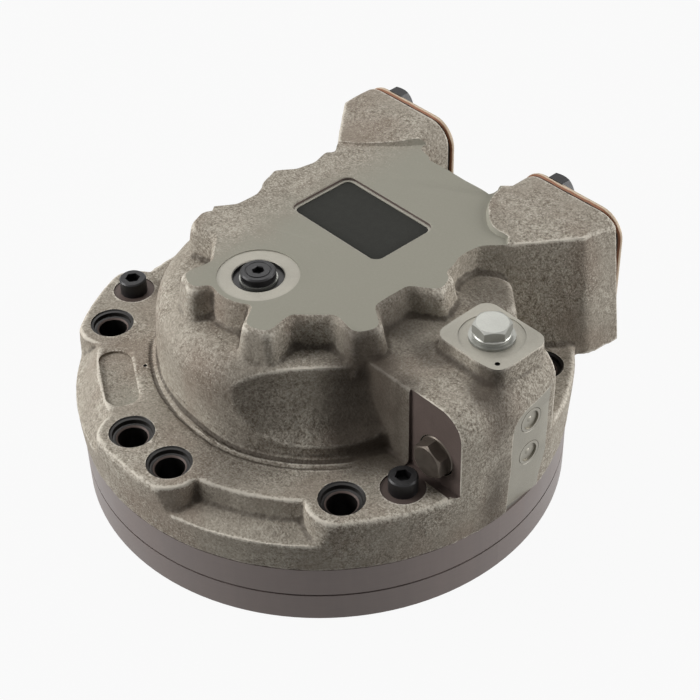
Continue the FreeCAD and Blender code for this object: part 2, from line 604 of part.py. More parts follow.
def column_machining():
    """Milled faces, spotfaces and bores of the valve column."""
    face_low = VALVE_Y - MILLED_FACE_REACH
    top = FLANGE_BOTTOM + MILLED_FACE_HEIGHT
    foot = FLANGE_BOTTOM - 30
    corners = [(face_low, foot), (FAR / 4, foot), (FAR / 4, top), (face_low, top)]
    milled = Part.Face(rounded(corners, MILLED_FACE_CORNER, 0)).extrude(V(0, 0, 20))
    milled.rotate(V(0, 0, 0), V(1, 1, 1), 120)
    milled.translate(V(MILLED_FACE_X, 0, 0))
    side = box((SIDE_FACE_START, FAR), (COLUMN_LOW_Y - 4, SIDE_FACE_Y), (FLANGE_TOP - 1, FAR))
    tools = [milled, side]
    for radius, low in ((SPOOL_RADIUS + RUNNING_FIT, spool_floor()),
                        (SELECTOR_PLUG_THREAD + RUNNING_FIT, VALVE_PAD_TOP - PLUG_THREAD_LENGTH - 1),
                        (VALVE_SPOTFACE_RADIUS, VALVE_PAD_TOP - VALVE_SPOTFACE_DEPTH)):
        tools.append(cylinder(radius, low, VALVE_PAD_TOP + 1, VALVE_X, VALVE_Y))
    inward = V(-1, 0, 0)
    for z in expander_heights():
        face = V(MILLED_FACE_X, VALVE_Y + EXPANDER_OFFSET, z)
        tools.append(Part.makeCylinder(EXPANDER_RADIUS + RUNNING_FIT, EXPANDER_DEPTH, face, inward))
        tools.append(Part.makeCylinder(PILOT_WAY_RADIUS, MILLED_FACE_X - VALVE_X, face, inward))
    mouth = V(SIDE_PLUG_X, SIDE_FACE_Y, FLANGE_BOTTOM + SIDE_PLUG_HEIGHT)
    inward = V(0, 1, 0)
    tools.append(Part.makeCylinder(SIDE_PLUG_COLLAR + 2.5, SIDE_POCKET_DEPTH + SIDE_MILLING,
                                   mouth - inward * SIDE_MILLING, inward))
    tools.append(Part.makeCylinder(SIDE_PLUG_THREAD + RUNNING_FIT, PLUG_THREAD_LENGTH + 6, mouth, inward))
    way = V(VALVE_X - SIDE_PLUG_X, VALVE_Y - SIDE_FACE_Y, 0)
    tools.append(Part.makeCylinder(PILOT_WAY_RADIUS, way.Length - SPOOL_RADIUS / 2, mouth, way))
    return tools


def spool_floor():
    """Height of the bottom of the spool's bore."""
    return VALVE_PAD_TOP - PLUG_THREAD_LENGTH - 1 - SPOOL_LENGTH - SPOOL_TRAVEL - SPOOL_SPRING_ROOM


def expander_heights():
    """Heights of the two expander plugs."""
    middle = FLANGE_BOTTOM + EXPANDER_HEIGHT
    return (middle - EXPANDER_SPACING / 2, middle + EXPANDER_SPACING / 2)


def window(inset, z_low, z_high):
    """Rounded rectangle of the crown's window, smaller by inset."""
    cx, cy = WINDOW_CENTRE
    hx, hy = WINDOW_LENGTH / 2 - inset, WINDOW_WIDTH / 2 - inset
    outline = [(cx - hx, cy - hy), (cx + hx, cy - hy), (cx + hx, cy + hy), (cx - hx, cy + hy)]
    return Part.Face(rounded(outline, WINDOW_CORNER - inset, z_low)).extrude(V(0, 0, z_high - z_low))


def bolt_hole():
    """Through-hole with its counterbore on the axis, and the clear way above for the bolt's head."""
    floor = FLANGE_TOP - COUNTERBORE_DEPTH
    hole, wide = BOLT_HOLE_RADIUS, COUNTERBORE_RADIUS
    mouth = wide + COUNTERBORE_CHAMFER
    return turned([
        (0, FLANGE_BOTTOM - 1), (hole, FLANGE_BOTTOM - 1), (hole, floor - BOLT_HOLE_CHAMFER),
        (hole + BOLT_HOLE_CHAMFER, floor), (wide, floor), (wide, FLANGE_TOP - COUNTERBORE_CHAMFER),
        (mouth, FLANGE_TOP), (mouth, ARM_TOP), (0, ARM_TOP)])


def valve_cover():
    """Cast cover with all its machining."""
    right = arm()
    body = flange().fuse([dome(), crown(), right, right.mirror(V(0, 0, 0), V(1, 0, 0)), column()])
    tools = cover_hollow() + column_machining() + port_passages(1) + port_passages(-1)
    for side in (1, -1):
        x = sorted(side * (PORT_OFFSET + reach * (PAD_WIDTH / 2 + PAD_MILLING)) for reach in (-1, 1))
        tools.append(box(x, (PAD_DISTANCE, FAR), (ARM_BOTTOM - PAD_MILLING, FAR)))
    tools.append(window(0, CROWN_TOP - WINDOW_DEPTH, CROWN_TOP + 1))
    tools.append(cylinder(FACING_RADIUS, CROWN_TOP, ARM_TOP + 5))
    for angle in bolt_angles():
        tools.append(bolt_hole().translate(polar(BOLT_CIRCLE_RADIUS, angle)))
    for angle in SCREW_ANGLES:
        spot = polar(BOLT_CIRCLE_RADIUS, angle)
        tools.append(cylinder(SCREW_RADIUS + 0.5, FLANGE_BOTTOM - 1, FLANGE_TOP + 1, spot.x, spot.y))
        tools.append(cylinder(COUNTERBORE_RADIUS - 0.5, SPOTFACE_Z, FLANGE_TOP + 20, spot.x, spot.y))
    for angle in (0, 180):
        spot = polar(BOLT_CIRCLE_RADIUS, angle)
        top = FLANGE_BOTTOM + DOWEL_LENGTH / 2 + 0.5
        tools.append(cylinder(DOWEL_RADIUS + RUNNING_FIT, FLANGE_BOTTOM - 1, top, spot.x, spot.y))
    floor = CROWN_TOP - DRAIN_COUNTERBORE_DEPTH
    tools.append(cylinder(DRAIN_SPOTFACE_RADIUS, CROWN_TOP - 0.6, CROWN_TOP + 1, DRAIN_X, DRAIN_Y))
    tools.append(cylinder(DRAIN_COUNTERBORE_RADIUS, floor, CROWN_TOP + 1, DRAIN_X, DRAIN_Y))
    tools.append(cylinder(DRAIN_THREAD_RADIUS + RUNNING_FIT, floor - PLUG_THREAD_LENGTH - 4, floor + 1,
                          DRAIN_X, DRAIN_Y))
    return body.cut(tools).removeSplitter()


def hex_head(flats, z_low, height):
    """Hexagon with its upper corners chamfered all round."""
    chamfer = 0.35 * flats
    top = z_low + height
    dish = Part.makeCone(flats / 2 + chamfer * 1.4, flats / 2 - 0.5, chamfer, V(0, 0, top - chamfer))
    if height > chamfer:
        dish = dish.fuse(cylinder(flats, z_low, top - chamfer))
    return hexagon(flats, z_low, top).common(dish)


def hex_plug(thread, collar, flats):
    """Screw plug standing on z = 0 with its thread below, and its sealing washer."""
    body = cylinder(thread, -PLUG_THREAD_LENGTH - WASHER_THICKNESS, 0)
    body = body.fuse(cylinder(collar, 0, PLUG_COLLAR_HEIGHT))
    body = body.fuse(hex_head(flats, PLUG_COLLAR_HEIGHT, PLUG_HEX_HEIGHT))
    washer = cylinder(collar, -WASHER_THICKNESS, 0).cut(cylinder(thread + FIT, -FAR, FAR))
    return body, washer


def placed(shapes, x, y, z, axis=None):
    """Copies of the shapes moved to a place, first tipped so that +Z becomes the axis."""
    result = []
    for shape in shapes:
        copy = shape.copy()
        if axis:
            copy.Placement = FreeCAD.Placement(V(0, 0, 0), FreeCAD.Rotation(V(0, 0, 1), V(*axis)))
        copy.translate(V(x, y, z))
        result.append(copy)
    return result


def drain_plug():
    """Socket plug of the crown and its washer."""
    floor = CROWN_TOP - DRAIN_COUNTERBORE_DEPTH + WASHER_THICKNESS
    top = floor + DRAIN_COLLAR_HEIGHT
    body = cylinder(DRAIN_COLLAR_RADIUS, floor, top).fuse(
        cylinder(DRAIN_THREAD_RADIUS, floor - PLUG_THREAD_LENGTH, floor))
    body = body.makeChamfer(0.8, [e for e in body.Edges if abs(e.BoundBox.ZMin - top) < 1e-6])
    body = body.cut(hexagon(DRAIN_SOCKET_FLATS, top - 4, top + 1))
    washer = cylinder(DRAIN_COLLAR_RADIUS, floor - WASHER_THICKNESS, floor).cut(
        cylinder(DRAIN_THREAD_RADIUS + FIT, floor - 5, floor + 5))
    return placed([body, washer], DRAIN_X, DRAIN_Y, 0)


def assembly_screw():
    """Socket-head screw on the axis, head seat at its place in the flange."""
    top = SPOTFACE_Z + SCREW_HEAD_HEIGHT
    body = cylinder(SCREW_HEAD_RADIUS, SPOTFACE_Z, top)
    body = body.makeChamfer(0.8, [e for e in body.Edges if abs(e.BoundBox.ZMin - top) < 1e-6])
    body = body.fuse(cylinder(SCREW_RADIUS, RING_HEIGHT - SCREW_ENGAGEMENT, SPOTFACE_Z))
    return body.cut(hexagon(SCREW_SOCKET_FLATS, top - 5, top + 1))


def port_bolt():
    """Hex bolt that holds a port plate, along -Y with its head seat at y = 0."""
    length = PORT_BOLT_GRIP + PORT_PLATE_THICKNESS + GASKET_THICKNESS
    return hex_head(PORT_BOLT_FLATS, 0, PORT_BOLT_HEAD).fuse(cylinder(PORT_BOLT_RADIUS, -length, 0))


def port_plate(side, y_low, thickness, inset):
    """Rounded plate or gasket over one port, with two bolt holes."""
    x = side * PORT_OFFSET
    hx, hz = PAD_WIDTH / 2 - inset, (ARM_TOP - ARM_BOTTOM) / 2 - inset - 1
    middle = (ARM_TOP + ARM_BOTTOM) / 2
    outline = [(-hx, -hz), (hx, -hz), (hx, hz), (-hx, hz)]
    plate = Part.Face(rounded(outline, ARM_CORNER - inset, 0)).extrude(V(0, 0, thickness))
    plate.rotate(V(0, 0, 0), V(1, 0, 0), 90)
    plate.translate(V(x, y_low + thickness, middle))
    holes = []
    for dx, dz in port_bolt_places(2):
        spot = V(x + dx, y_low - 1, PORT_Z + dz)
        holes.append(Part.makeCylinder(PORT_BOLT_RADIUS + 0.4, thickness + 2, spot, V(0, 1, 0)))
    return plate.cut(holes)


def cylinder_block():
    """Rotor: eight radial bores, a splined middle and eight timing holes."""
    edge = 3.0
    block = turned([
        (SPLINE_MINOR_RADIUS + edge, BLOCK_BOTTOM), (BLOCK_RADIUS - edge, BLOCK_BOTTOM),
        (BLOCK_RADIUS, BLOCK_BOTTOM + edge), (BLOCK_RADIUS, BLOCK_TOP - edge),
        (BLOCK_RADIUS - edge, BLOCK_TOP),
        (SPLINE_MINOR_RADIUS + edge, BLOCK_TOP), (SPLINE_MINOR_RADIUS, BLOCK_TOP - edge),
        (SPLINE_MINOR_RADIUS, BLOCK_BOTTOM + edge)])
    pitch = 360.0 / SPLINE_TEETH
    low, high = SPLINE_MINOR_RADIUS - 1, SPLINE_MINOR_RADIUS + SPLINE_DEPTH
    space = [polar(low, -0.30 * pitch), polar(high, -0.17 * pitch), polar(high, 0.17 * pitch),
             polar(low, 0.30 * pitch)]
    groove = Part.Face(Part.makePolygon(space + space[:1])).extrude(V(0, 0, BLOCK_HEIGHT + 2))
    groove.translate(V(0, 0, BLOCK_BOTTOM - 1))
    block = block.cut([at_angle(groove, pitch * k) for k in range(SPLINE_TEETH)])
    bore = Part.makeCylinder(PISTON_RADIUS, BLOCK_RADIUS, V(BORE_BOTTOM_RADIUS, 0, BORE_HEIGHT), V(1, 0, 0))
    way = cylinder(TIMING_HOLE_RADIUS, BORE_HEIGHT, BLOCK_TOP + 1, TIMING_RADIUS)
    outer = BLOCK_RADIUS - BLOCK_LAND
    floor = BLOCK_TOP - BLOCK_RELIEF_DEPTH
    inside = cylinder(outer - BLOCK_RELIEF_WIDTH, floor - 1, BLOCK_TOP + 2)
    cuts = [cylinder(outer, floor, BLOCK_TOP + 1).cut(inside)]
    for angle in piston_angles():
        cuts += [at_angle(bore, angle), at_angle(way, angle)]
    return block.cut(cuts)


def piston_angles():
    """Angles of the pistons in the stored position."""
    return [PISTON_PHASE + 360.0 * k / PISTON_COUNT for k in range(PISTON_COUNT)]


def piston_set():
    """Piston, seal ring, bearing shell and roller on +X at their retracted places."""
    centre = ROLLER_REST_RADIUS
    tail = centre - PISTON_TAIL
    lip = centre + CRADLE_LIP
    z = BORE_HEIGHT
    body_radius = PISTON_RADIUS - RUNNING_FIT
    piston = Part.makeCylinder(body_radius, lip - tail, V(tail, 0, z), V(1, 0, 0))
    shell_outer = SHELL_RADIUS + RUNNING_FIT
    cradle = cylinder(shell_outer + RUNNING_FIT, z - FAR / 10, z + FAR / 10, centre)
    cheeks = box((centre, lip + 1), (-FAR / 10, FAR / 10), (z - FAR / 10, z + FAR / 10))
    cheeks = cheeks.cut(cylinder(shell_outer + CRADLE_WALL, z - FAR / 5, z + FAR / 5, centre))
    groove_x = tail + 3
    start = V(groove_x, 0, z)
    groove = Part.makeCylinder(body_radius + 1, RING_GROOVE_WIDTH, start, V(1, 0, 0))
    core = Part.makeCylinder(body_radius - RING_GROOVE_DEPTH, RING_GROOVE_WIDTH, start, V(1, 0, 0))
    hollow = Part.makeCylinder(PISTON_HOLLOW_RADIUS, PISTON_HOLLOW_DEPTH + 1, V(tail - 1, 0, z), V(1, 0, 0))
    piston = piston.cut([cradle, cheeks, groove.cut(core), hollow])
    start = V(groove_x + FIT, 0, z)
    width = RING_GROOVE_WIDTH - 2 * FIT
    ring = Part.makeCylinder(body_radius - RUNNING_FIT, width, start, V(1, 0, 0))
    ring = ring.cut(Part.makeCylinder(body_radius - RING_GROOVE_DEPTH + FIT, width, start, V(1, 0, 0)))
    half = ROLLER_LENGTH / 2
    shell = cylinder(shell_outer, z - half, z + half, centre).cut(
        cylinder(ROLLER_RADIUS + RUNNING_FIT, z - FAR / 10, z + FAR / 10, centre))
    shell = shell.cut(box((centre + CRADLE_LIP - 0.5, FAR), (-FAR, FAR), (-FAR, FAR)))
    roller = cylinder(ROLLER_RADIUS, z - half, z + half, centre)
    roller = roller.makeChamfer(1.0, [e for e in roller.Edges if e.Closed and len(e.Vertexes) == 1])
    return {"piston": piston, "piston_ring": ring, "roller_shell": shell, "roller": roller}


def distributor():
    """Stepped oil distributor with its timing ports, grooves and seal rings."""
    base = BLOCK_TOP + FACE_GAP
    profile, top = distributor_steps(0)
    body = turned([(DISTRIBUTOR_BORE, base)] + profile + [(DISTRIBUTOR_BORE, top)])
    ports = []
    for k in range(2 * CAM_LOBES):
        step = k % 2
        level = base + (step + 0.4) * DISTRIBUTOR_STEP
        angle = 15.0 + 180.0 * k / CAM_LOBES
        spot = polar(TIMING_RADIUS - 5, angle)
        ports.append(cylinder(TIMING_HOLE_RADIUS, base - 1, level, spot.x, spot.y))
        end = spot + V(0, 0, level)
        reach = DISTRIBUTOR_RADII[step]
        ports.append(Part.makeCylinder(TIMING_HOLE_RADIUS - 1, reach, end, polar(1, angle)))
    section = DISTRIBUTOR_SEAL_SECTION
    seals = []
    z = base
    for radius in DISTRIBUTOR_RADII:
        level = z + DISTRIBUTOR_STEP - section
        room = section + SEAL_ROOM
        ports.append(turned([(radius - room, level - room / 2), (radius + 1, level - room / 2),
                             (radius + 1, level + room / 2), (radius - room, level + room / 2)]))
        seals.append(square_ring(radius - FIT / 2, level, section))
        z += DISTRIBUTOR_STEP
    return body.cut(ports), seals, top


def disc_spring(z):
    """Conical disc spring that presses the distributor against the rotor."""
    inner, outer = DISC_SPRING_RADII
    rise = DISC_SPRING_HEIGHT - DISC_SPRING_THICKNESS
    thick = DISC_SPRING_THICKNESS
    return turned([(inner, z + rise), (outer, z), (outer, z + thick), (inner, z + rise + thick)])


def selector():
    """Two-speed spool and its spring in the valve column."""
    low = spool_floor() + SPOOL_SPRING_ROOM + SPOOL_TRAVEL
    high = low + SPOOL_LENGTH
    lands = [(0, low), (SPOOL_RADIUS, low)]
    for share in (0.25, 0.60):
        z = low + share * SPOOL_LENGTH
        waist = SPOOL_RADIUS - 2.5
        lands += [(SPOOL_RADIUS, z), (waist, z + 1), (waist, z + 7), (SPOOL_RADIUS, z + 8)]
    lands += [(SPOOL_RADIUS, high - 1), (SPOOL_RADIUS - 1, high), (0, high)]
    spool = turned(lands)
    spring = coil(SELECTOR_SPRING_RADIUS, SELECTOR_SPRING_WIRE, SELECTOR_SPRING_TURNS,
                  spool_floor() + FIT, low - FIT)
    return placed([spool, spring], VALVE_X, VALVE_Y, 0)


def expander_plugs():
    """Two pressed plugs in the milled face, each with its ball dimple."""
    plugs = []
    for z in expander_heights():
        face = V(MILLED_FACE_X, VALVE_Y + EXPANDER_OFFSET, z)
        plug = Part.makeCylinder(EXPANDER_RADIUS, EXPANDER_DEPTH, face, V(-1, 0, 0))
        dish = Part.makeCylinder(EXPANDER_RADIUS - 1.6, 1.2, face, V(-1, 0, 0))
        ball = Part.makeSphere(3.0, face + V(-3.6, 0, 0))
        plugs.append(plug.cut(dish).fuse(ball))
    return plugs


def build():
    """Every node of the motor by name."""
    nodes = {"valve_cover": valve_cover()}
    nodes["cam_ring"], seals = cam_ring()
    nodes.update(seals)
    nodes["blank_plate"] = window(0.4, CROWN_TOP - WINDOW_DEPTH, CROWN_TOP - WINDOW_DEPTH + PLATE_THICKNESS)
    nodes["cylinder_block"] = cylinder_block()

    nodes["distributor"], rings, top = distributor()
    nodes["distributor_seals"] = Part.makeCompound(rings)
    nodes["distributor_spring"] = disc_spring(top)
    nodes["selector_spool"], nodes["selector_spring"] = selector()

    plug, washer = hex_plug(SELECTOR_PLUG_THREAD, SELECTOR_PLUG_COLLAR, SELECTOR_PLUG_FLATS)
    seat = VALVE_PAD_TOP - VALVE_SPOTFACE_DEPTH + WASHER_THICKNESS
    nodes["selector_plug"], nodes["selector_plug_seal"] = placed([plug, washer], VALVE_X, VALVE_Y, seat)
    plug, washer = hex_plug(SIDE_PLUG_THREAD, SIDE_PLUG_COLLAR, SIDE_PLUG_FLATS)
    height = FLANGE_BOTTOM + SIDE_PLUG_HEIGHT
    seat = SIDE_FACE_Y + SIDE_POCKET_DEPTH - WASHER_THICKNESS
    pair = placed([plug, washer], SIDE_PLUG_X, seat, height, (0, -1, 0))
    nodes["side_plug"], nodes["side_plug_seal"] = pair
    nodes["drain_plug"], nodes["drain_plug_seal"] = drain_plug()
    nodes["expander_plugs"] = Part.makeCompound(expander_plugs())

    screws = [assembly_screw() for angle in SCREW_ANGLES]
    for screw, angle in zip(screws, SCREW_ANGLES):
        screw.translate(polar(BOLT_CIRCLE_RADIUS, angle))
    nodes["assembly_screws"] = Part.makeCompound(screws)
    dowels = []
    for angle in (0, 180):
        spot = polar(BOLT_CIRCLE_RADIUS, angle)
        half = DOWEL_LENGTH / 2
        dowels.append(cylinder(DOWEL_RADIUS, RING_HEIGHT - half, RING_HEIGHT + half, spot.x, spot.y))
    nodes["dowel_pins"] = Part.makeCompound(dowels)

    bolts, gaskets = [], []
    for side, name in ((1, "port_cover_right"), (-1, "port_cover_left")):
        gaskets.append(port_plate(side, PAD_DISTANCE, GASKET_THICKNESS, 0.7))
        nodes[name] = port_plate(side, PAD_DISTANCE + GASKET_THICKNESS, PORT_PLATE_THICKNESS, 0.3)
        seat = PAD_DISTANCE + GASKET_THICKNESS + PORT_PLATE_THICKNESS
        for dx, dz in port_bolt_places(2):
            bolts += placed([port_bolt()], side * PORT_OFFSET + dx, seat, PORT_Z + dz, (0, 1, 0))
    nodes["port_gaskets"] = Part.makeCompound(gaskets)
    nodes["port_cover_bolts"] = Part.makeCompound(bolts)

    for number, angle in enumerate(piston_angles(), 1):
        for name, shape in piston_set().items():
            nodes[f"{name}_{number}"] = at_angle(shape, angle)
    return nodes


def main():
    os.makedirs("parts", exist_ok=True)
    for name, shape in build().items():
        shape.exportStep(f"parts/{name}.step")
        valid = shape.isValid()
        print(f"{name:22s} {len(shape.Solids)} solid  {shape.Volume / 1000:9.2f} cm3  valid {valid}")


main()
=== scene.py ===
"""Looks of a hydraulic drive motor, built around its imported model.

Sizes of pieces and floor are in millimetres, and those of finishes, lamps and camera in metres.
The cast cover's sizes repeat those of the CAD source.
"""
import math

import bmesh
import bpy
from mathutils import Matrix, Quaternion, Vector, noise


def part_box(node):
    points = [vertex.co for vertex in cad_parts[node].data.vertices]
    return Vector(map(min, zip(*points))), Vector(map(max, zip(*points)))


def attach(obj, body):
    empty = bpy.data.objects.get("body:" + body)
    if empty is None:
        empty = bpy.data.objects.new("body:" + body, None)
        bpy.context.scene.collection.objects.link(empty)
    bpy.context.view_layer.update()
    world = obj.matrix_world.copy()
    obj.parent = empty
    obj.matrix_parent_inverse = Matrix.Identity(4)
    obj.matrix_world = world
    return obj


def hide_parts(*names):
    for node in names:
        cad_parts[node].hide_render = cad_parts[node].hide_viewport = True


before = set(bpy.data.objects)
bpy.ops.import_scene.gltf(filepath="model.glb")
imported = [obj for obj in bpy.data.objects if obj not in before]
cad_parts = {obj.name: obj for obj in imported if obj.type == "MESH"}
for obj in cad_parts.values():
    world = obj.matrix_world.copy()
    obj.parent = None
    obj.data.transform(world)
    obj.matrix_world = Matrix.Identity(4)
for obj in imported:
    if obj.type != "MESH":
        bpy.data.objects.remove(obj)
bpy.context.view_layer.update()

bl_info = {
    "name": "Hydraulic drive motor",
    "version": (1, 0, 0),
    "blender": (4, 5, 0),
    "location": "3D View > Sidebar > Motor",
    "description": "Cast cover, finishes and stage of a radial-piston drive motor",
    "category": "Object",
}

MM = 0.001

# The casting's main heights and radii
SEAM = 40.0
FLANGE_TOP = 78.0
CROWN_TOP = 147.0
ARM_TOP = 153.0
VALVE_PAD_TOP = 140.0
FLANGE_RADIUS = 148.0
COLUMN_SHOULDER = 114.0
COLUMN_ROUND = 16.0
FACING_RADIUS = 106.0
PORT_FACE = 133.7
PORT_OFFSET = 67.4
PORT_Z = 116.0
PAD_REACH = 39.9
PAD_LOW = 67.0
ARM_SLOPE_START = 75.0

# Stock on machined faces, and radii of what fills the bores until the casting is softened
STOCK = 3.0
SIDE_STOCK = 1.5
BOLT_FILLER = 13.6
DOWEL_FILLER = 6.0
DRAIN_FILLER = 15.5
VALVE_FILLER = 10.0
SIDE_FILLER = 12.9
EXPANDER_FILLER = 8.5
PORT_FILLER = 13.5
PORT_BOLT_FILLER = 7.0
OIL_WAY_FILLER = 10.0

# Holes of the flange
BOLT_CIRCLE = 128.5
BOLT_ANGLES = (37.5, 82.5, 97.5, 142.5, 217.5, 262.5, 277.5, 322.5)
SCREW_ANGLES = (157.5, 202.5, 337.5)
DOWEL_ANGLES = (0.0, 180.0)
BOLT_HOLE = 8.75
COUNTERBORE = 13.0
SEEN_DEPTH = 4.0
SCREW_HOLE = 5.5
SCREW_SPOTFACE = 12.5
DOWEL_HOLE = 5.05
DOWEL_TOP = 54.5

# Bores, milled faces and two pips
VALVE_AXIS = (114.5, 20.5)
VALVE_THREAD = 9.05
VALVE_SPOTFACE_DEPTH = 0.5
DRAIN_AXIS = (-5.5, -40.0)
DRAIN_COUNTERBORE = 14.5
DRAIN_SPOTFACE_DEPTH = 0.6
MILLED_X = 142.0
SIDE_FACE = -32.0
SIDE_PLUG = (126.0, 95.0)
EXPANDER_Y = 24.5
EXPANDER_HEIGHTS = (71.0, 95.0)
EXPANDER_BORE = 7.55
PORT_BORE = 12.5
PORT_BOLT_HOLE = 6.05
POCKET_RADII = (112.0, 131.5)
POCKET_ANGLES = (229.0, 252.0)
PORT_BOLTS = ((-13.9, 28.6), (13.9, -28.6), (13.9, 28.6), (-13.9, -28.6))
PIPS = (((132.2, 6.0, VALVE_PAD_TOP), 1.5), ((-56.9, -87.8, FLANGE_TOP), 1.1))

# Window of the crown, and how much wider it is at each height
WINDOW = ((-42.4, 30.6), (14.95, 61.45))
WINDOW_FLOOR = 143.0
WINDOW_CORNER = 6.0
WINDOW_SECTION = ((0, WINDOW_FLOOR), (0, 144.3), (-1.5, 144.3), (-1.5, 144.9), (0.2, 145.0), (0.2, 146.4),
                  (0.9, CROWN_TOP + 0.2), (0.9, CROWN_TOP + 9))

# Hollow from the seam upwards, and what fills it at first: radius and top of each step
HOLLOW = ((116.1, 52.1), (94.0, 56.7), (68.1, 70.3), (62.1, 84.3), (56.1, 98.3), (18.0, 101.3))
HOLLOW_FILLER = ((120.0, 54.0), (96.0, 59.0), (70.0, 72.0), (64.0, 86.0), (58.0, 100.0), (20.0, 104.0))

# Outlines in plan that widen the crown's plane and the right arm's slope
RIGHT_FILL = ((33.5, 16), (66.5, 22), (64.5, 33), (64, 42), (60.5, 50), (59.8, 57), (61, 65), (65, 73),
              (33.5, 76))
LEFT_FILL = ((-40, -25), (-74, -17), (-66, -5), (-65.5, 10), (-72, 22), (-77, 33), (-69, 44), (-66.5, 56),
             (-70, 68), (-60, 78), (-40, 78))
REAR_FILL = ((-48, 92), (-22, 92), (-22, 109.5), (-34, 112), (-42, 104))
ARM_FILL = ((30, 114), (31, 105), (33.8, 97), (38.5, 90), (44, 84.5), (50, 80.2), (59, 77.4), (66.5, 78.5),
            (71, 86), (78, 98), (84, 108), (60, 118), (34, 118))

# Edge of the crown's facing outside its circle: right arm, rear and left arm
FACING_EDGE = ((67.1, 81.7), (60.5, 80.6), (54.6, 81.6), (50.2, 84), (46.1, 87.3), (40.8, 92.5),
               (36.4, 98.7), (33.8, 105), (32.5, 113), (-34, 117), (-42.6, 105.4), (-51.5, 96.5),
               (-61.9, 87), (-77.5, 78.9))

# Valve boss: centre, radius and first angle of each round corner
BOSS_CORNERS = (((130, 32), 8.5, 0), ((99, 33), 8.5, 90), ((99.5, 8), 8.5, 180), ((126, 12), 12.5, 270))

# Section of the ledge in the front scallop, as radius and height
LEDGE = ((126, 55), (145.5, 55), (145.5, 61), (133, 65), (126, 66))

# Section of a port plate: inset from its outline, and distance from the pad's face
PLATE_SECTION = ((0.4, 1.1), (-0.4, 1.6), (-1.2, 2.4), (-1.5, 3.4), (-1.2, 4.4), (-0.3, 5.0), (1.6, 5.2),
                 (3.4, 4.6), (4.0, 3.7))
PLATE_CORNER = 15.0

# Screw plugs: width across flats and height of a head, and height of the drain plug's
PLUG_FLATS = 19.0
PLUG_HEAD = 10.0
DRAIN_HEAD = 5.0

# Bead round the foot of the dome: its outer groove's radius at angles about the axis
BEAD = ((222, 101.5), (245, 101.0), (258, 101.2), (271, 102.0), (283, 103.6), (292, 104.8), (330, 105.2))
BEAD_WIDTH = 4.2
BEAD_HEIGHTS = (74.0, 86.0)
BEAD_RADII = (92.0, 110.0)

# Patches of painted shade on the cast skin, where the cover lies in shadow: place in plan, reach and strength
SHADE_PATCHES = (((136.0, -5.0), 19.0, 0.8), ((82.0, -42.0), 34.0, 0.85), ((104.0, -34.0), 15.0, 0.6),
          ((95.0, -2.0), 15.0, 0.5), ((62.0, -2.0), 24.0, 0.6), ((84.0, 52.0), 24.0, 0.45),
          ((40.0, -98.0), 38.0, 0.4))

# Angle between the points round a screw plug
HEX_STEP = 5

# Height of a finish's coarse and fine relief, in metres
COARSE_RELIEF = 0.00003
FINE_RELIEF = 0.00002

# Where finishes change, in metres: the ring's radius, the port plates' distance from the pad
RING_EDGE = (0.1432, 0.1442)
GASKET_EDGE = (0.0012, 0.0019)
RIM_EDGE = (0.0022, 0.0030)

# Floor: half its width, its underside and its top
FLOOR_REACH = 4000
FLOOR_HEIGHTS = (-8, -0.2)

# Point that the lamps are turned to, in metres
MOTOR_MIDDLE = (0.0, 0.0, 0.07)

# Order of the cover's materials; SHADED and BORE are painted shade, darker copies of milled and bored iron
CAST, CROWN, MILLED, BORE, SHADED = range(5)


def screen(red, green, blue):
    """Linear colour from screen values of 0 to 255."""
    shares = [value / 255 for value in (red, green, blue)]
    return [s / 12.92 if s <= 0.04045 else ((s + 0.055) / 1.055) ** 2.4 for s in shares]


def colour(name, description, *values):
    """Colour property with its screen colour as default."""
    return bpy.props.FloatVectorProperty(name=name, description=description, subtype="COLOR", size=3,
                                         min=0.0, max=1.0, default=screen(*values))


def length(name, description, default):
    """Length property in metres."""
    return bpy.props.FloatProperty(name=name, description=description, default=default, min=0.0,
                                   subtype="DISTANCE", unit="LENGTH", precision=5)


def point(name, description, default):
    """Property for a place in metres."""
    return bpy.props.FloatVectorProperty(name=name, description=description, default=default, size=3,
                                         subtype="XYZ", unit="LENGTH")


def level(name, description, default):
    """Property for a share or a lamp's power."""
    return bpy.props.FloatProperty(name=name, description=description, default=default, min=0.0)


class CastingSettings(bpy.types.PropertyGroup):
    """Sizes of the cover's cast skin."""

    voxel: length("Mesh size", "Size of the softened casting's mesh", 0.00138)
    softening: bpy.props.IntProperty(name="Softening", description="Smoothing passes over the edges",
                                     default=4, min=0, max=40)
    wave_height: length("Wave height", "Depth of the skin's unevenness", 0.0005)
    wave_size: length("Wave size", "Width of the skin's unevenness", 0.014)
    grain_size: length("Grain size", "Width of the sand grain", 0.0013)
    grain_depth: length("Grain depth", "Height of the sand grain", 0.0005)


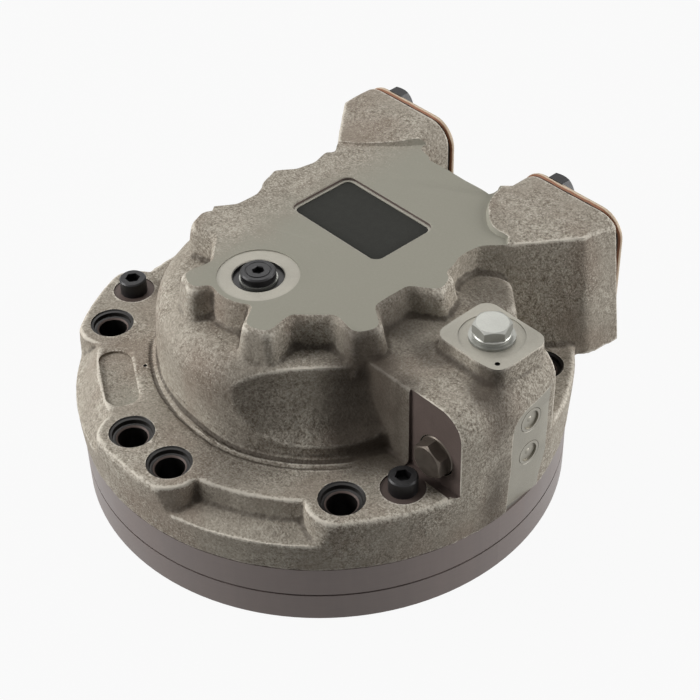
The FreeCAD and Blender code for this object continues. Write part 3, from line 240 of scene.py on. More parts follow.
class FinishColours(bpy.types.PropertyGroup):
    """Colours of the motor's finishes."""

    cast_light: colour("Cast light", "Raised grains of the casting", 178, 171, 158)
    cast_dark: colour("Cast dark", "Hollows of the casting", 112, 103, 91)
    cast_brown: colour("Cast brown", "Warm patches of the casting", 124, 109, 96)
    # Painted highlight: lightens the casting's outward edges and glints on its grain
    cast_painted_highlight: colour("Cast edge", "Rubbed edges of the casting", 212, 205, 192)
    # Painted shade: darkens the casting's hollows and the shaded patches round its bosses
    cast_painted_shade: colour("Cast hollow", "Sand and dirt in the casting's corners", 62, 54, 46)
    crown_grey: colour("Crown", "Smooth top of the crown", 142, 140, 128)
    milled: colour("Milled", "Freshly milled faces", 158, 154, 143)
    # Painted shade: a darker copy of the milled colour, for faces, spotfaces and walls in shadow
    shaded: colour("Dull milled", "Stained milled face beside the column", 90, 78, 73)
    # Painted shade: bolt holes, bores and pips painted nearly black
    bore: colour("Bores", "Walls of the bolt holes", 34, 32, 30)
    ring: colour("Ring", "Turned outside of the steel ring", 116, 105, 101)
    black_oxide: colour("Black oxide", "Screws and the drain plug", 27, 26, 27)
    zinc: colour("Zinc", "Plated plug on the valve column", 162, 162, 156)
    phosphate: colour("Phosphate", "Dark plug beside the column", 92, 84, 76)
    window: colour("Window", "Plate in the crown's window", 56, 56, 53)
    plate: colour("Port plate", "Outside of the port plates", 190, 172, 150)
    plate_edge: colour("Plate edge", "Copper-brown rims of the port plates", 122, 80, 54)
    gasket: colour("Gasket", "Gaskets under the port plates", 44, 33, 27)
    steel: colour("Steel", "Ground inner parts", 150, 148, 146)
    rubber: colour("Rubber", "Seal rings", 28, 27, 27)
    polymer: colour("Polymer", "Distributor seals", 122, 92, 60)
    bronze: colour("Bearing", "Bearing shells", 158, 132, 84)


class StageSettings(bpy.types.PropertyGroup):
    """Camera, floor and light."""

    camera_place: point("Camera", "Place of the camera", (0.567708, -0.484376, 0.703719))
    camera_target: point("Target", "Point that the camera looks at", (0.008887, 0.013345, 0.070))
    camera_roll: bpy.props.FloatProperty(name="Roll", description="Tilt of the picture",
                                         subtype="ANGLE", default=math.radians(-1.4824))
    lens: bpy.props.FloatProperty(name="Lens", description="Focal length in millimetres", default=85.12)
    floor_colour: colour("Floor", "Colour of the floor", 120, 120, 119)
    floor_white: level("Floor white", "Share of white in the floor", 0.94)
    surround: level("Surround", "Level of the light from all round", 0.05)
    key_level: level("Key", "Watts of the lamp above and behind", 8.6)
    left_level: level("Left", "Watts of the lamp on the left", 20.0)
    right_level: level("Right", "Watts of the lamp on the right", 12.5)


class Shade:
    """A shader socket in arithmetic: each operator adds a Math node."""

    def __init__(self, finish, socket):
        self.finish = finish
        self.socket = socket

    def math(self, operation, *values):
        inputs = dict(enumerate(values))
        return self.finish.node("ShaderNodeMath", inputs, {"operation": operation})

    def __add__(self, other):
        return self.math("ADD", self, other)

    def __sub__(self, other):
        return self.math("SUBTRACT", self, other)

    def __rsub__(self, other):
        return self.math("SUBTRACT", other, self)

    def __mul__(self, other):
        return self.math("MULTIPLY", self, other)

    def __pow__(self, other):
        return self.math("POWER", self, other)


class Finish:
    """A node tree under construction, for a material or the world."""

    def __init__(self, tree):
        self.tree = tree
        self.tree.nodes.clear()

    def node(self, kind, inputs=None, settings=None, output=0):
        """Adds one node: its settings first, then the values or links of its sockets."""
        made = self.tree.nodes.new(kind)
        for name, value in (settings or {}).items():
            setattr(made, name, value)
        for key, value in (inputs or {}).items():
            self.feed(made.inputs[key], value)
        return Shade(self, made.outputs[output]) if made.outputs else None

    def feed(self, socket, value):
        if isinstance(value, Shade):
            self.tree.links.new(value.socket, socket)
        elif socket.type == "RGBA":
            socket.default_value = (*value, 1.0)
        else:
            socket.default_value = value

    def place(self, stretch=None):
        """Point on the surface in the object's own frame, scaled along each axis."""
        here = self.node("ShaderNodeTexCoord", output="Object")
        if stretch is None:
            return here
        return self.node("ShaderNodeVectorMath", {0: here, 1: stretch}, {"operation": "MULTIPLY"})

    def along(self, axis):
        """One coordinate of the surface point."""
        return self.node("ShaderNodeSeparateXYZ", inputs={0: self.place()}, output=axis)

    def grain(self, size, detail=2.0, roughness=0.55, stretch=None):
        """Random value about 0.5 with features of one size."""
        return self.node("ShaderNodeTexNoise", {"Vector": self.place(stretch), "Scale": 1.0 / size,
                                                "Detail": detail, "Roughness": roughness})

    def step(self, value, low, high):
        """Smooth step from 0 at low to 1 at high."""
        inputs = {"Value": value, "From Min": low, "From Max": high, "To Min": 0.0, "To Max": 1.0}
        return self.node("ShaderNodeMapRange", inputs, {"interpolation_type": "SMOOTHSTEP"})

    def radius(self, centre=(0.0, 0.0)):
        """Distance of the surface point from an upright axis."""
        x, y = self.along("X") - centre[0], self.along("Y") - centre[1]
        return (x * x + y * y) ** 0.5

    def mixed(self, share, first, second):
        """Colour between two others."""
        return self.node("ShaderNodeMix", {0: share, 6: first, 7: second}, {"data_type": "RGBA"}, 2)

    def keenness(self):
        """Above 0.5 on outward edges and below it in hollows."""
        return self.node("ShaderNodeNewGeometry", output="Pointiness")

    def bump(self, height, depth):
        """Normal tilted by a height that varies over the surface."""
        return self.node("ShaderNodeBump", {"Distance": depth, "Height": height})

    def surface(self, inputs):
        """Principled shader as the tree's surface."""
        shader = self.node("ShaderNodeBsdfPrincipled", inputs)
        self.node("ShaderNodeOutputMaterial", {"Surface": shader})


def new_finish(name):
    """Material with an empty tree, and the tree's builder."""
    material = bpy.data.materials.new(name)
    material.use_nodes = True
    return material, Finish(material.node_tree)


def shades(tone, darker, lighter):
    """Darker and lighter colour about a tone."""
    return [value * darker for value in tone], [min(1.0, value * lighter) for value in tone]


def cast_finish(name, calm=False):
    """Sand-cast iron with painted highlights on edges and grains, and painted shade in hollows and patches. A
    calm one is smooth, apart from its side towards -X.
    """
    tones, sizes = bpy.context.scene.motor_colours, bpy.context.scene.motor_casting
    material, cast = new_finish(name)
    grain = cast.grain(sizes.grain_size, 4.0, 0.62)
    coarse = cast.grain(sizes.grain_size * 2.6, 2.0)
    patch = cast.grain(0.026, 3.0)
    stain = cast.grain(0.048, 2.0, stretch=(1.0, 1.0, 0.7))
    rough = cast.step(cast.grain(0.040, 1.0), 0.36, 0.60) * 0.5 + 0.5
    if calm:
        rough = cast.step(cast.along("X") * -1.0 + (patch - 0.5) * 0.04, 0.020, 0.060) * 0.9 + 0.06
    share = ((grain - 0.5) * 3.0 + (coarse - 0.5) * 1.4) * rough + (patch - 0.5) * 0.5 + 0.5
    tone = cast.mixed(share, tones.cast_dark, tones.cast_light)
    tone = cast.mixed(cast.step(stain, 0.48, 0.70) * 0.5, tone, tones.cast_brown)
    if calm:
        tone = cast.mixed(1.0 - rough, tone, tones.crown_grey)
    # Painted glints on the raised grain
    glint = cast.step(cast.grain(sizes.grain_size * 0.7, 1.0), 0.62, 0.70) * rough * 0.5
    tone = cast.mixed(glint, tone, tones.cast_painted_highlight)
    if not calm:
        # Painted highlight on outward edges, and painted shade in hollows
        keen = cast.keenness()
        tone = cast.mixed(cast.step(keen + (grain - 0.5) * 0.04, 0.510, 0.534) * 0.75, tone, tones.cast_painted_highlight)
        tone = cast.mixed(cast.step(keen * -1.0, -0.492, -0.470) * 0.8, tone, tones.cast_painted_shade)
        # Patches of painted shade where the cover lies in shadow
        for (x, y), reach, strength in SHADE_PATCHES:
            away = cast.radius((x * MM, y * MM)) + (patch - 0.5) * 0.012
            stain_and_painted_shade = cast.step(away * -1.0, -reach * MM, -reach * 0.3 * MM) * strength
            tone = cast.mixed(stain_and_painted_shade, tone, tones.cast_painted_shade)
    cast.surface({
        "Base Color": tone,
        "Metallic": 0.1,
        "Roughness": 0.70 - (grain - 0.5) * 0.5,
        "Specular IOR Level": 0.2,
        "Normal": cast.bump((grain + coarse * 0.8) * rough, sizes.grain_depth),
    })
    return material


def milled_finish(name, tone, stretch, roughness=0.5, metallic=0.3):
    """Milled or ground metal with cutter lines along the unstretched axes."""
    material, face = new_finish(name)
    lines = face.grain(0.0007, 2.0, stretch=stretch)
    cloud = face.grain(0.012, 3.0)
    speck = face.grain(0.0009, 1.0)
    share = (lines - 0.5) * 0.5 + (cloud - 0.5) * 0.7 + (speck - 0.5) * 0.3 + 0.5
    dark, light = shades(tone, 0.72, 1.18)
    face.surface({
        "Base Color": face.mixed(share, dark, light),
        "Metallic": metallic,
        "Roughness": (cloud - 0.5) * 0.25 + roughness,
        "Specular IOR Level": 0.3,
        "Normal": face.bump(lines, COARSE_RELIEF),
    })
    return material


def turned_finish(name, tone, roughness=0.4, metallic=0.5):
    """Turned metal with fine lines round the axis and soft stains."""
    material, face = new_finish(name)
    lines = face.grain(0.02, 3.0, 0.7, stretch=(1.0, 1.0, 45.0))
    cloud = face.grain(0.018, 3.0, stretch=(1.0, 1.0, 0.4))
    share = (lines - 0.5) * 0.7 + (cloud - 0.5) * 0.9 + 0.5
    dark, light = shades(tone, 0.7, 1.15)
    face.surface({
        "Base Color": face.mixed(share, dark, light),
        "Metallic": metallic,
        "Roughness": (cloud - 0.5) * 0.3 + roughness,
        "Specular IOR Level": 0.45,
        "Normal": face.bump(lines, FINE_RELIEF),
    })
    return material


def ring_finish():
    """Steel ring: stained outside, brighter ground faces and track inside."""
    tones = bpy.context.scene.motor_colours
    material, ring = new_finish("ring_steel_turned")
    lines = ring.grain(0.02, 3.0, 0.7, stretch=(1.0, 1.0, 40.0))
    streak = ring.grain(0.009, 3.0, 0.6, stretch=(1.0, 1.0, 0.12))
    cloud = ring.grain(0.030, 2.0)
    outside = ring.step(ring.radius(), *RING_EDGE)
    share = (lines - 0.5) * 0.5 + (streak - 0.5) * 0.6 + (cloud - 0.5) * 0.6 + 0.5
    dark, light = shades(tones.ring, 0.74, 1.16)
    stain_and_painted_shade = ring.mixed(share, dark, light)
    ground = ring.mixed(share, [value * 0.8 for value in tones.steel], tones.steel)
    ring.surface({
        "Base Color": ring.mixed(outside, ground, stain_and_painted_shade),
        "Metallic": 0.75 - outside * 0.5,
        "Roughness": (cloud - 0.5) * 0.25 + (streak - 0.5) * 0.15 + 0.42,
        "Normal": ring.bump(lines, FINE_RELIEF),
    })
    return material


def coated_finish(name, tone, roughness=0.42, metallic=0.3, grain_size=0.0006, gloss=0.4):
    """Oxide, phosphate or plated coat with a fine grain and slightly uneven gloss."""
    material, coat = new_finish(name)
    grain = coat.grain(grain_size, 2.0)
    cloud = coat.grain(0.005, 2.0)
    share = (grain - 0.5) * 0.6 + (cloud - 0.5) * 0.8 + 0.5
    dark, light = shades(tone, 0.75, 1.25)
    coat.surface({
        "Base Color": coat.mixed(share, dark, light),
        "Metallic": metallic,
        "Roughness": (cloud - 0.5) * 0.3 + roughness,
        "Specular IOR Level": gloss,
        "Normal": coat.bump(grain, COARSE_RELIEF),
    })
    return material


def plate_finish():
    """Port plates: pale outside, copper-brown and then dark towards the casting."""
    tones = bpy.context.scene.motor_colours
    material, plate = new_finish("port_plate_coat")
    cloud = plate.grain(0.010, 3.0)
    grain = plate.grain(0.0008, 2.0)
    away = plate.along("Y") - PORT_FACE * MM + (cloud - 0.5) * 0.0012
    pale = plate.mixed((cloud - 0.5) * 0.8 + 0.5, [v * 0.8 for v in tones.plate], tones.plate)
    tone = plate.mixed(plate.step(away, *RIM_EDGE), tones.plate_edge, pale)
    plate.surface({
        "Base Color": plate.mixed(plate.step(away, *GASKET_EDGE), tones.gasket, tone),
        "Metallic": 0.2,
        "Roughness": (cloud - 0.5) * 0.25 + 0.5,
        "Specular IOR Level": 0.3,
        "Normal": plate.bump(grain, COARSE_RELIEF),
    })
    return material


def soft_finish(name, tone, roughness=0.5):
    """Rubber or polymer with a faint skin."""
    material, skin = new_finish(name)
    grain = skin.grain(0.0005, 2.0)
    cloud = skin.grain(0.008, 2.0)
    dark, light = shades(tone, 0.8, 1.2)
    skin.surface({
        "Base Color": skin.mixed(cloud, dark, light),
        "Roughness": (grain - 0.5) * 0.2 + roughness,
        "Normal": skin.bump(grain, FINE_RELIEF),
    })
    return material


def dress(material, *nodes):
    """Gives CAD nodes a finish in every material slot."""
    for node in nodes:
        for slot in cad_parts[node].material_slots:
            slot.material = material


def add_solid(mesh, rings, paint=CAST, bands=None):
    """Adds a capped solid through rings of points. bands paints single bands between two rings."""
    loops = [[mesh.verts.new([value * MM for value in point]) for point in ring] for ring in rings]
    faces = [mesh.faces.new(loops[0]), mesh.faces.new(loops[-1])]
    for face in faces:
        face.material_index = paint
    for band, (a, b) in enumerate(zip(loops, loops[1:])):
        for k in range(len(a)):
            face = mesh.faces.new((a[k - 1], a[k], b[k], b[k - 1]))
            face.material_index = (bands or {}).get(band, paint)
            faces.append(face)
    bmesh.ops.recalc_face_normals(mesh, faces=faces)


def placed(rings, at, axis):
    """Rings round the Z axis, tipped to an axis and moved to a place."""
    turn = Vector((0, 0, 1)).rotation_difference(Vector(axis))
    return [[turn @ Vector(point) + Vector(at) for point in ring] for ring in rings]


def add_turned(mesh, profile, at=(0, 0, 0), axis=(0, 0, 1), paint=CAST, sides=48, bands=None):
    """Adds a capped solid of revolution from (radius, height) points along an axis."""
    rings = [[polar(radius, 360 * k / sides, height) for k in range(sides)] for radius, height in profile]
    add_solid(mesh, placed(rings, at, axis), paint, bands)


def hex_ring(flats, height, turn=0, chamfer=0.0):
    """Ring of points round a hexagon turned by some degrees, lowered towards its corners."""
    ring = []
    for angle in range(0, 360, HEX_STEP):
        side = flats / 2 / math.cos(math.radians((angle - turn + 30) % 60 - 30))
        ring.append(polar(side, angle, height - chamfer * (side - flats * 0.47)))
    return ring


def round_ring(radius, height):
    """Ring of as many points as a hexagon's ring."""
    return [polar(radius, angle, height) for angle in range(0, 360, HEX_STEP)]


def hex_plug(collar, flats, height, turn=0):
    """Rings of a screw plug's head: round collar and chamfered hexagon."""
    rings = [round_ring(collar, 0), round_ring(collar, 2.0), round_ring(collar - 0.5, 2.6)]
    rings += [hex_ring(flats, 2.6, turn), hex_ring(flats, height, turn, 0.55)]
    return rings + [round_ring(flats * 0.47, height)]


def socket_plug(radius, flats, height):
    """Rings of a low round plug with a step on its face and a hexagon socket."""
    rings = [round_ring(radius, 0), round_ring(radius, height - 1), round_ring(radius - 0.8, height - 0.2)]
    rings += [round_ring(radius - 2.6, height - 0.1), round_ring(radius - 2.9, height - 0.5)]
    rings += [round_ring(radius - 3.3, height - 0.5), round_ring(radius - 3.5, height)]
    rings += [hex_ring(flats + 0.6, height), hex_ring(flats, height - 0.5)]
    return rings + [hex_ring(flats, height - 3.5)]


def add_box(mesh, x, y, z, paint=CAST):
    """Adds a box from three (low, high) pairs."""
    rings = [[(x[0], y[0], h), (x[1], y[0], h), (x[1], y[1], h), (x[0], y[1], h)] for h in z]
    add_solid(mesh, rings, paint)


def rounded_outline(x, y, radius, steps=8):
    """Rectangle with round corners, as (x, y) points."""
    points = []
    corners = ((x[1], y[1], 0), (x[0], y[1], 90), (x[0], y[0], 180), (x[1], y[0], 270))
    for cx, cy, start in corners:
        sx = cx - radius if cx == x[1] else cx + radius
        sy = cy - radius if cy == y[1] else cy + radius
        for k in range(steps + 1):
            a = math.radians(start + 90 * k / steps)
            points.append((sx + radius * math.cos(a), sy + radius * math.sin(a)))
    return points


def prism(points, low, high):
    """Two level rings over a flat outline."""
    return [[(x, y, z) for x, y in points] for z in (low, high)]


def polar(radius, degrees, z=0.0):
    """Point at a radius and an angle about the motor's axis."""
    a = math.radians(degrees)
    return (radius * math.cos(a), radius * math.sin(a), z)


def add_stock(mesh, faces, direction, inside=1.0, outside=STOCK):
    """Adds a slab over flat faces, from just inside them to outside."""
    way = Vector(direction)
    low, high = {}, {}
    for face in faces:
        for vert in face.verts:
            if vert not in low:
                low[vert] = mesh.verts.new(vert.co - way * inside * MM)
                high[vert] = mesh.verts.new(vert.co + way * outside * MM)
    chosen, made = set(faces), []
    for face in faces:
        made.append(mesh.faces.new([high[v] for v in face.verts]))
        made.append(mesh.faces.new([low[v] for v in reversed(face.verts)]))
        for edge, loop in zip(face.edges, face.loops):
            if sum(other in chosen for other in edge.link_faces) == 1:
                a, b = loop.vert, loop.link_loop_next.vert
                made.append(mesh.faces.new((low[a], low[b], high[b], high[a])))
    bmesh.ops.recalc_face_normals(mesh, faces=made)


def flat_faces(mesh, axis, level, direction, keep=None):
    """Faces that lie in a plane across an axis, and face one way along it."""
    found = []
    for face in mesh.faces:
        centre = face.calc_center_median()
        if abs(centre[axis] - level * MM) < 2e-5 and face.normal[axis] * direction > 0.999:
            if keep is None or keep(centre / MM):
                found.append(face)
    return found


def object_from(mesh, name, materials=()):
    """Object with the mesh, linked to the scene."""
    data = bpy.data.meshes.new(name)
    mesh.to_mesh(data)
    mesh.free()
    for material in materials:
        data.materials.append(material)
    made = bpy.data.objects.new(name, data)
    bpy.context.scene.collection.objects.link(made)
    return made


def settle(piece):
    """Puts the result of the piece's modifiers into its mesh."""
    bpy.context.view_layer.update()
    graph = bpy.context.evaluated_depsgraph_get()
    shaped = piece.evaluated_get(graph)
    data = bpy.data.meshes.new_from_object(shaped, preserve_all_data_layers=True, depsgraph=graph)
    piece.modifiers.clear()
    old, piece.data = piece.data, data
    bpy.data.meshes.remove(old)
    if not piece.data.polygons:
        raise RuntimeError(f"{piece.name} lost its faces")


def stepped(steps, low):
    """Profile of a stepped bore, from a height upwards through the radius and top of each step."""
    profile = []
    for radius, top in steps:
        profile += [(radius, low), (radius, top)]
        low = top
    return profile


def raw_casting():
    """The cover as cast: its solid with bores filled, stock on machined faces and fuller edges."""
    blank = bmesh.new()
    blank.from_mesh(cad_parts["valve_cover"].data)
    bmesh.ops.remove_doubles(blank, verts=blank.verts, dist=2e-6)
    for face in blank.faces:
        face.normal_update()
    for add in (add_face_stock, fill_bores, fill_ports, fill_rim, fill_crown, fill_boss):
        add(blank)
    return blank


def add_face_stock(blank):
    """Stock on the crown, the valve pad, the port pads and the column's side face."""
    crown = flat_faces(blank, 2, CROWN_TOP, 1)
    crown += flat_faces(blank, 2, CROWN_TOP - DRAIN_SPOTFACE_DEPTH, 1)
    pad = flat_faces(blank, 2, VALVE_PAD_TOP, 1)
    pad += flat_faces(blank, 2, VALVE_PAD_TOP - VALVE_SPOTFACE_DEPTH, 1, lambda c: c.x > 90)
    ports = flat_faces(blank, 1, PORT_FACE, 1)
    side = flat_faces(blank, 1, SIDE_FACE, -1, lambda c: c.x > 105)
    for faces, way in ((crown, (0, 0, 1)), (pad, (0, 0, 1)), (ports, (0, 1, 0))):
        add_stock(blank, faces, way)
    add_stock(blank, side, (0, -1, 0), outside=SIDE_STOCK)


def fill_bores(blank):
    """Fills the hollow and the bores of the flange, crown and column."""
    add_turned(blank, stepped(HOLLOW_FILLER, SEAM - STOCK))
    rim = FLANGE_RADIUS - 4
    add_turned(blank, [(rim, SEAM - STOCK), (rim, SEAM + 1)])
    for angle in BOLT_ANGLES + SCREW_ANGLES:
        add_turned(blank, [(BOLT_FILLER, SEAM - 2), (BOLT_FILLER, FLANGE_TOP)], polar(BOLT_CIRCLE, angle))
    dowel = [(DOWEL_FILLER, SEAM - 2), (DOWEL_FILLER, DOWEL_TOP + 1.5)]
    for angle in DOWEL_ANGLES:
        add_turned(blank, dowel, polar(BOLT_CIRCLE, angle))
    add_box(blank, WINDOW[0], WINDOW[1], (WINDOW_FLOOR - STOCK, CROWN_TOP + STOCK))
    add_turned(blank, [(DRAIN_FILLER, 122), (DRAIN_FILLER, CROWN_TOP + STOCK)], (*DRAIN_AXIS, 0))
    add_turned(blank, [(VALVE_FILLER, 62), (VALVE_FILLER, VALVE_PAD_TOP + STOCK)], (*VALVE_AXIS, 0))
    face = (SIDE_PLUG[0], SIDE_FACE - SIDE_STOCK, SIDE_PLUG[1])
    add_turned(blank, [(SIDE_FILLER, 0), (SIDE_FILLER, 30)], face, (0, 1, 0))
    expander = [(EXPANDER_FILLER, -30), (EXPANDER_FILLER, 1)]
    for height in EXPANDER_HEIGHTS:
        add_turned(blank, expander, (MILLED_X, EXPANDER_Y, height), (1, 0, 0))


def fill_ports(blank):
    """Fills the ports, their bolt holes and the oil ways from them to the hollow."""
    port = [(PORT_FILLER, -34), (PORT_FILLER, STOCK)]
    bolt = [(PORT_BOLT_FILLER, -22), (PORT_BOLT_FILLER, STOCK)]
    for x in (PORT_OFFSET, -PORT_OFFSET):
        add_turned(blank, port, (x, PORT_FACE, PORT_Z), (0, 1, 0))
        for dx, dz in PORT_BOLTS:
            add_turned(blank, bolt, (x + dx, PORT_FACE, PORT_Z + dz), (0, 1, 0), sides=24)
        start = Vector((x, PORT_FACE - 28, PORT_Z))
        end = Vector(polar(60, 90 - math.copysign(34, x), 63 if x > 0 else 77))
        oil_way = [(OIL_WAY_FILLER, -2), (OIL_WAY_FILLER, (end - start).length)]
        add_turned(blank, oil_way, start, end - start, sides=24)


def fill_rim(blank):
    """Gives the column back the round outside that its milled face takes away."""
    rings, inner = [], 125
    for angle in [0.5 + k for k in range(15)]:
        section = [(inner, SEAM), (FLANGE_RADIUS - 2, SEAM), (FLANGE_RADIUS, FLANGE_TOP)]
        for k in range(7):
            turn = math.radians(15 * k)
            section.append((FLANGE_RADIUS - COLUMN_ROUND * (1 - math.cos(turn)),
                            COLUMN_SHOULDER + COLUMN_ROUND * math.sin(turn)))
        section.append((inner, COLUMN_SHOULDER + COLUMN_ROUND))
        rings.append([polar(radius, angle, z) for radius, z in section])
    add_solid(blank, rings)


def fill_crown(blank):
    """Widens the crown's plane and the foot of the right arm's slope."""
    for fill, inward in ((RIGHT_FILL, -6), (LEFT_FILL, 8), (REAR_FILL, 0)):
        foot = [(x + inward, y, 90) for x, y in fill]
        add_solid(blank, [foot, *prism(fill, 122, CROWN_TOP + STOCK)])
    add_solid(blank, [[(x, y, 130) for x, y in ARM_FILL],
                      [(x, y, max(CROWN_TOP + 1.6, arm_slope(y))) for x, y in ARM_FILL]])


def fill_boss(blank):
    """Boss under the valve pad, and the ledge in the scallop before it."""
    boss = []
    for (x, y), radius, start in BOSS_CORNERS:
        corner = [math.radians(angle) for angle in range(start, start + 91, 9)]
        boss += [(x + radius * math.cos(a), y + radius * math.sin(a)) for a in corner]
    add_solid(blank, prism(boss, 100, VALVE_PAD_TOP + STOCK))
    add_solid(blank, [[polar(radius, angle, z) for radius, z in LEDGE] for angle in range(279, 322, 3)])


def arm_slope(y):
    """Height of the arms' sloping top."""
    return CROWN_TOP + (ARM_TOP - CROWN_TOP) * (y - ARM_SLOPE_START) / (PORT_FACE - ARM_SLOPE_START)


def machining():
    """Everything that is cut from the softened casting, as one list of solids."""
    tools = []
    for cut in (cut_faces, cut_ports, cut_column, cut_drain, cut_flange, cut_window, cut_hollow):
        cut(tools)
    return tools


def tool(tools):
    """Empty mesh for one more cutter."""
    tools.append(bmesh.new())
    return tools[-1]


def cut_faces(tools):
    """Seam, crown, valve pad, two pips and the flange's pocket."""
    add_turned(tool(tools), [(160, 20), (160, SEAM)], paint=MILLED, sides=96)
    face = [polar(FACING_RADIUS, angle)[:2] for angle in range(140, 401, 5)] + list(FACING_EDGE)
    flared = [Vector(point) + (Vector(point) - Vector((-7, 30))).normalized() * 3 for point in face]
    add_solid(tool(tools), [[(x, y, CROWN_TOP) for x, y in face], [(x, y, ARM_TOP) for x, y in flared],
                            [(x, y, ARM_TOP + 5) for x, y in flared]], CROWN)
    add_box(tool(tools), (86, 160), (-14, 48), (VALVE_PAD_TOP, 160), MILLED)
    for place, radius in PIPS:
        # Pips painted nearly black, as painted shade
        add_turned(tool(tools), [(radius, -1.2), (radius, 3)], place, paint=BORE, sides=16)
    middle = math.radians(1) * sum(POCKET_RADII) / 2
    pocket = rounded_outline([angle * middle for angle in POCKET_ANGLES], POCKET_RADII, 8.5)
    add_solid(tool(tools), [[polar(radius, along / middle, z) for along, radius in pocket]
                            for z in (FLANGE_TOP - 2.5, FLANGE_TOP + 2)], CROWN)


def cut_ports(tools):
    """Faces of the port pads, the ports and their bolt holes."""
    port = [(PORT_BORE, -30), (PORT_BORE, -0.8), (PORT_BORE + 0.8, 0), (PORT_BORE + 0.8, 5)]
    bolt = [(PORT_BOLT_HOLE, -20), (PORT_BOLT_HOLE, 5)]
    for side in (1, -1):
        x = side * PORT_OFFSET
        pad = sorted((x - side * PAD_REACH, x + side * (PAD_REACH + 15)))
        add_box(tool(tools), pad, (PORT_FACE, 170), (PAD_LOW, 170), MILLED)
        add_turned(tool(tools), port, (x, PORT_FACE, PORT_Z), (0, 1, 0), MILLED)
        for dx, dz in PORT_BOLTS:
            # Bolt holes painted nearly black, as painted shade
            add_turned(tool(tools), bolt, (x + dx, PORT_FACE, PORT_Z + dz), (0, 1, 0), BORE, sides=32)


def cut_column(tools):
    """Milled faces of the valve column, and the bores of its plugs and spool."""
    milled = rounded_outline((EXPANDER_Y - 20.5, 100), (10, 112), 13)
    add_solid(tool(tools), [[(x, y, z) for y, z in milled] for x in (MILLED_X, MILLED_X + 20)], MILLED)
    # Side face in the darker milled finish, as painted shade
    add_box(tool(tools), (107, 200), (-37.5, SIDE_FACE), (FLANGE_TOP - 1, 200), SHADED)
    plug = [(12.8, -5), (12.8, -0.2), (12.3, 0.3), (12.3, 4), (7.05, 4), (7.05, 18)]
    at = (SIDE_PLUG[0], SIDE_FACE, SIDE_PLUG[1])
    # Plug bore painted nearly black, as painted shade
    add_turned(tool(tools), plug, at, (0, 1, 0), BORE, bands={1: MILLED})
    wide = EXPANDER_BORE + 0.4
    expander = [(3, -27), (3, -7), (EXPANDER_BORE, -7), (EXPANDER_BORE, -0.4), (wide, 0), (wide, 2)]
    for height in EXPANDER_HEIGHTS:
        add_turned(tool(tools), expander, (MILLED_X, EXPANDER_Y, height), (1, 0, 0), MILLED)
    spotface = VALVE_PAD_TOP - VALVE_SPOTFACE_DEPTH
    spool = stepped(((8.05, 127), (VALVE_THREAD, spotface), (18.3, VALVE_PAD_TOP + 8)), 65)
    add_turned(tool(tools), spool, (*VALVE_AXIS, 0), paint=MILLED, sides=64)


def cut_drain(tools):
    """Spotface, counterbore and thread of the drain plug."""
    floor, spotface, wide = CROWN_TOP - 3, CROWN_TOP - DRAIN_SPOTFACE_DEPTH, DRAIN_COUNTERBORE
    drain = [(8.05, floor - 16), (8.05, floor), (wide, floor), (wide, spotface - 0.5),
             (wide + 0.5, spotface), (23.2, spotface), (23.2, CROWN_TOP + 9)]
    # Counterbore floor and wall painted nearly black, as painted shade
    add_turned(tool(tools), drain, (*DRAIN_AXIS, 0), paint=MILLED, sides=64, bands={1: BORE, 2: BORE})


def cut_flange(tools):
    """Counterbored bolt holes, spotfaced screw holes and dowel holes."""
    floor, top = FLANGE_TOP - SEEN_DEPTH, FLANGE_TOP
    # Counterbores painted nearly black with dull hole mouths, and spotfaces dull, as painted shade
    hole = [(BOLT_HOLE - 0.3, SEAM - 4), (BOLT_HOLE - 0.3, floor - 0.9), (BOLT_HOLE + 0.6, floor),
            (10.9, floor + 0.2), (11.3, top - 1.6), (12.5, top - 1.2), (12.9, top - 0.3),
            (COUNTERBORE + 0.5, top + 0.2), (COUNTERBORE + 0.5, ARM_TOP)]
    for angle in BOLT_ANGLES:
        add_turned(tool(tools), hole, polar(BOLT_CIRCLE, angle), paint=BORE, sides=64, bands={1: SHADED})
    screw = stepped(((SCREW_HOLE, FLANGE_TOP - 1), (SCREW_SPOTFACE, FLANGE_TOP + 20)), SEAM - 4)
    for angle in SCREW_ANGLES:
        add_turned(tool(tools), screw, polar(BOLT_CIRCLE, angle), paint=SHADED, sides=48)
    dowel = [(DOWEL_HOLE, SEAM - 4), (DOWEL_HOLE, DOWEL_TOP)]
    for angle in DOWEL_ANGLES:
        add_turned(tool(tools), dowel, polar(BOLT_CIRCLE, angle), paint=MILLED, sides=24)


def cut_window(tools):
    """Window of the crown, with a ledge over its plate."""
    rings = []
    for wider, z in WINDOW_SECTION:
        outline = [(low - wider, high + wider) for low, high in WINDOW]
        rings.append([(x, y, z) for x, y in rounded_outline(*outline, WINDOW_CORNER + wider)])
    # Wall over the window's ledge in the darker milled finish, as painted shade
    add_solid(tool(tools), rings, CROWN, bands={2: MILLED, 3: MILLED, 4: SHADED})


def cut_hollow(tools):
    """Stepped hollow over the ring and the rotor."""
    add_turned(tool(tools), stepped(HOLLOW, SEAM - 4), paint=MILLED, sides=96)


def combine(pieces, operation):
    """Boolean of the first piece with each of the others, which are then removed."""
    base, others = pieces[0], pieces[1:]
    for other in others:
        cut = base.modifiers.new(other.name, "BOOLEAN")
        cut.operation = operation
        cut.solver = "MANIFOLD"
        cut.object = other
    settle(base)
    for other in others:
        bpy.data.meshes.remove(other.data)
    return base


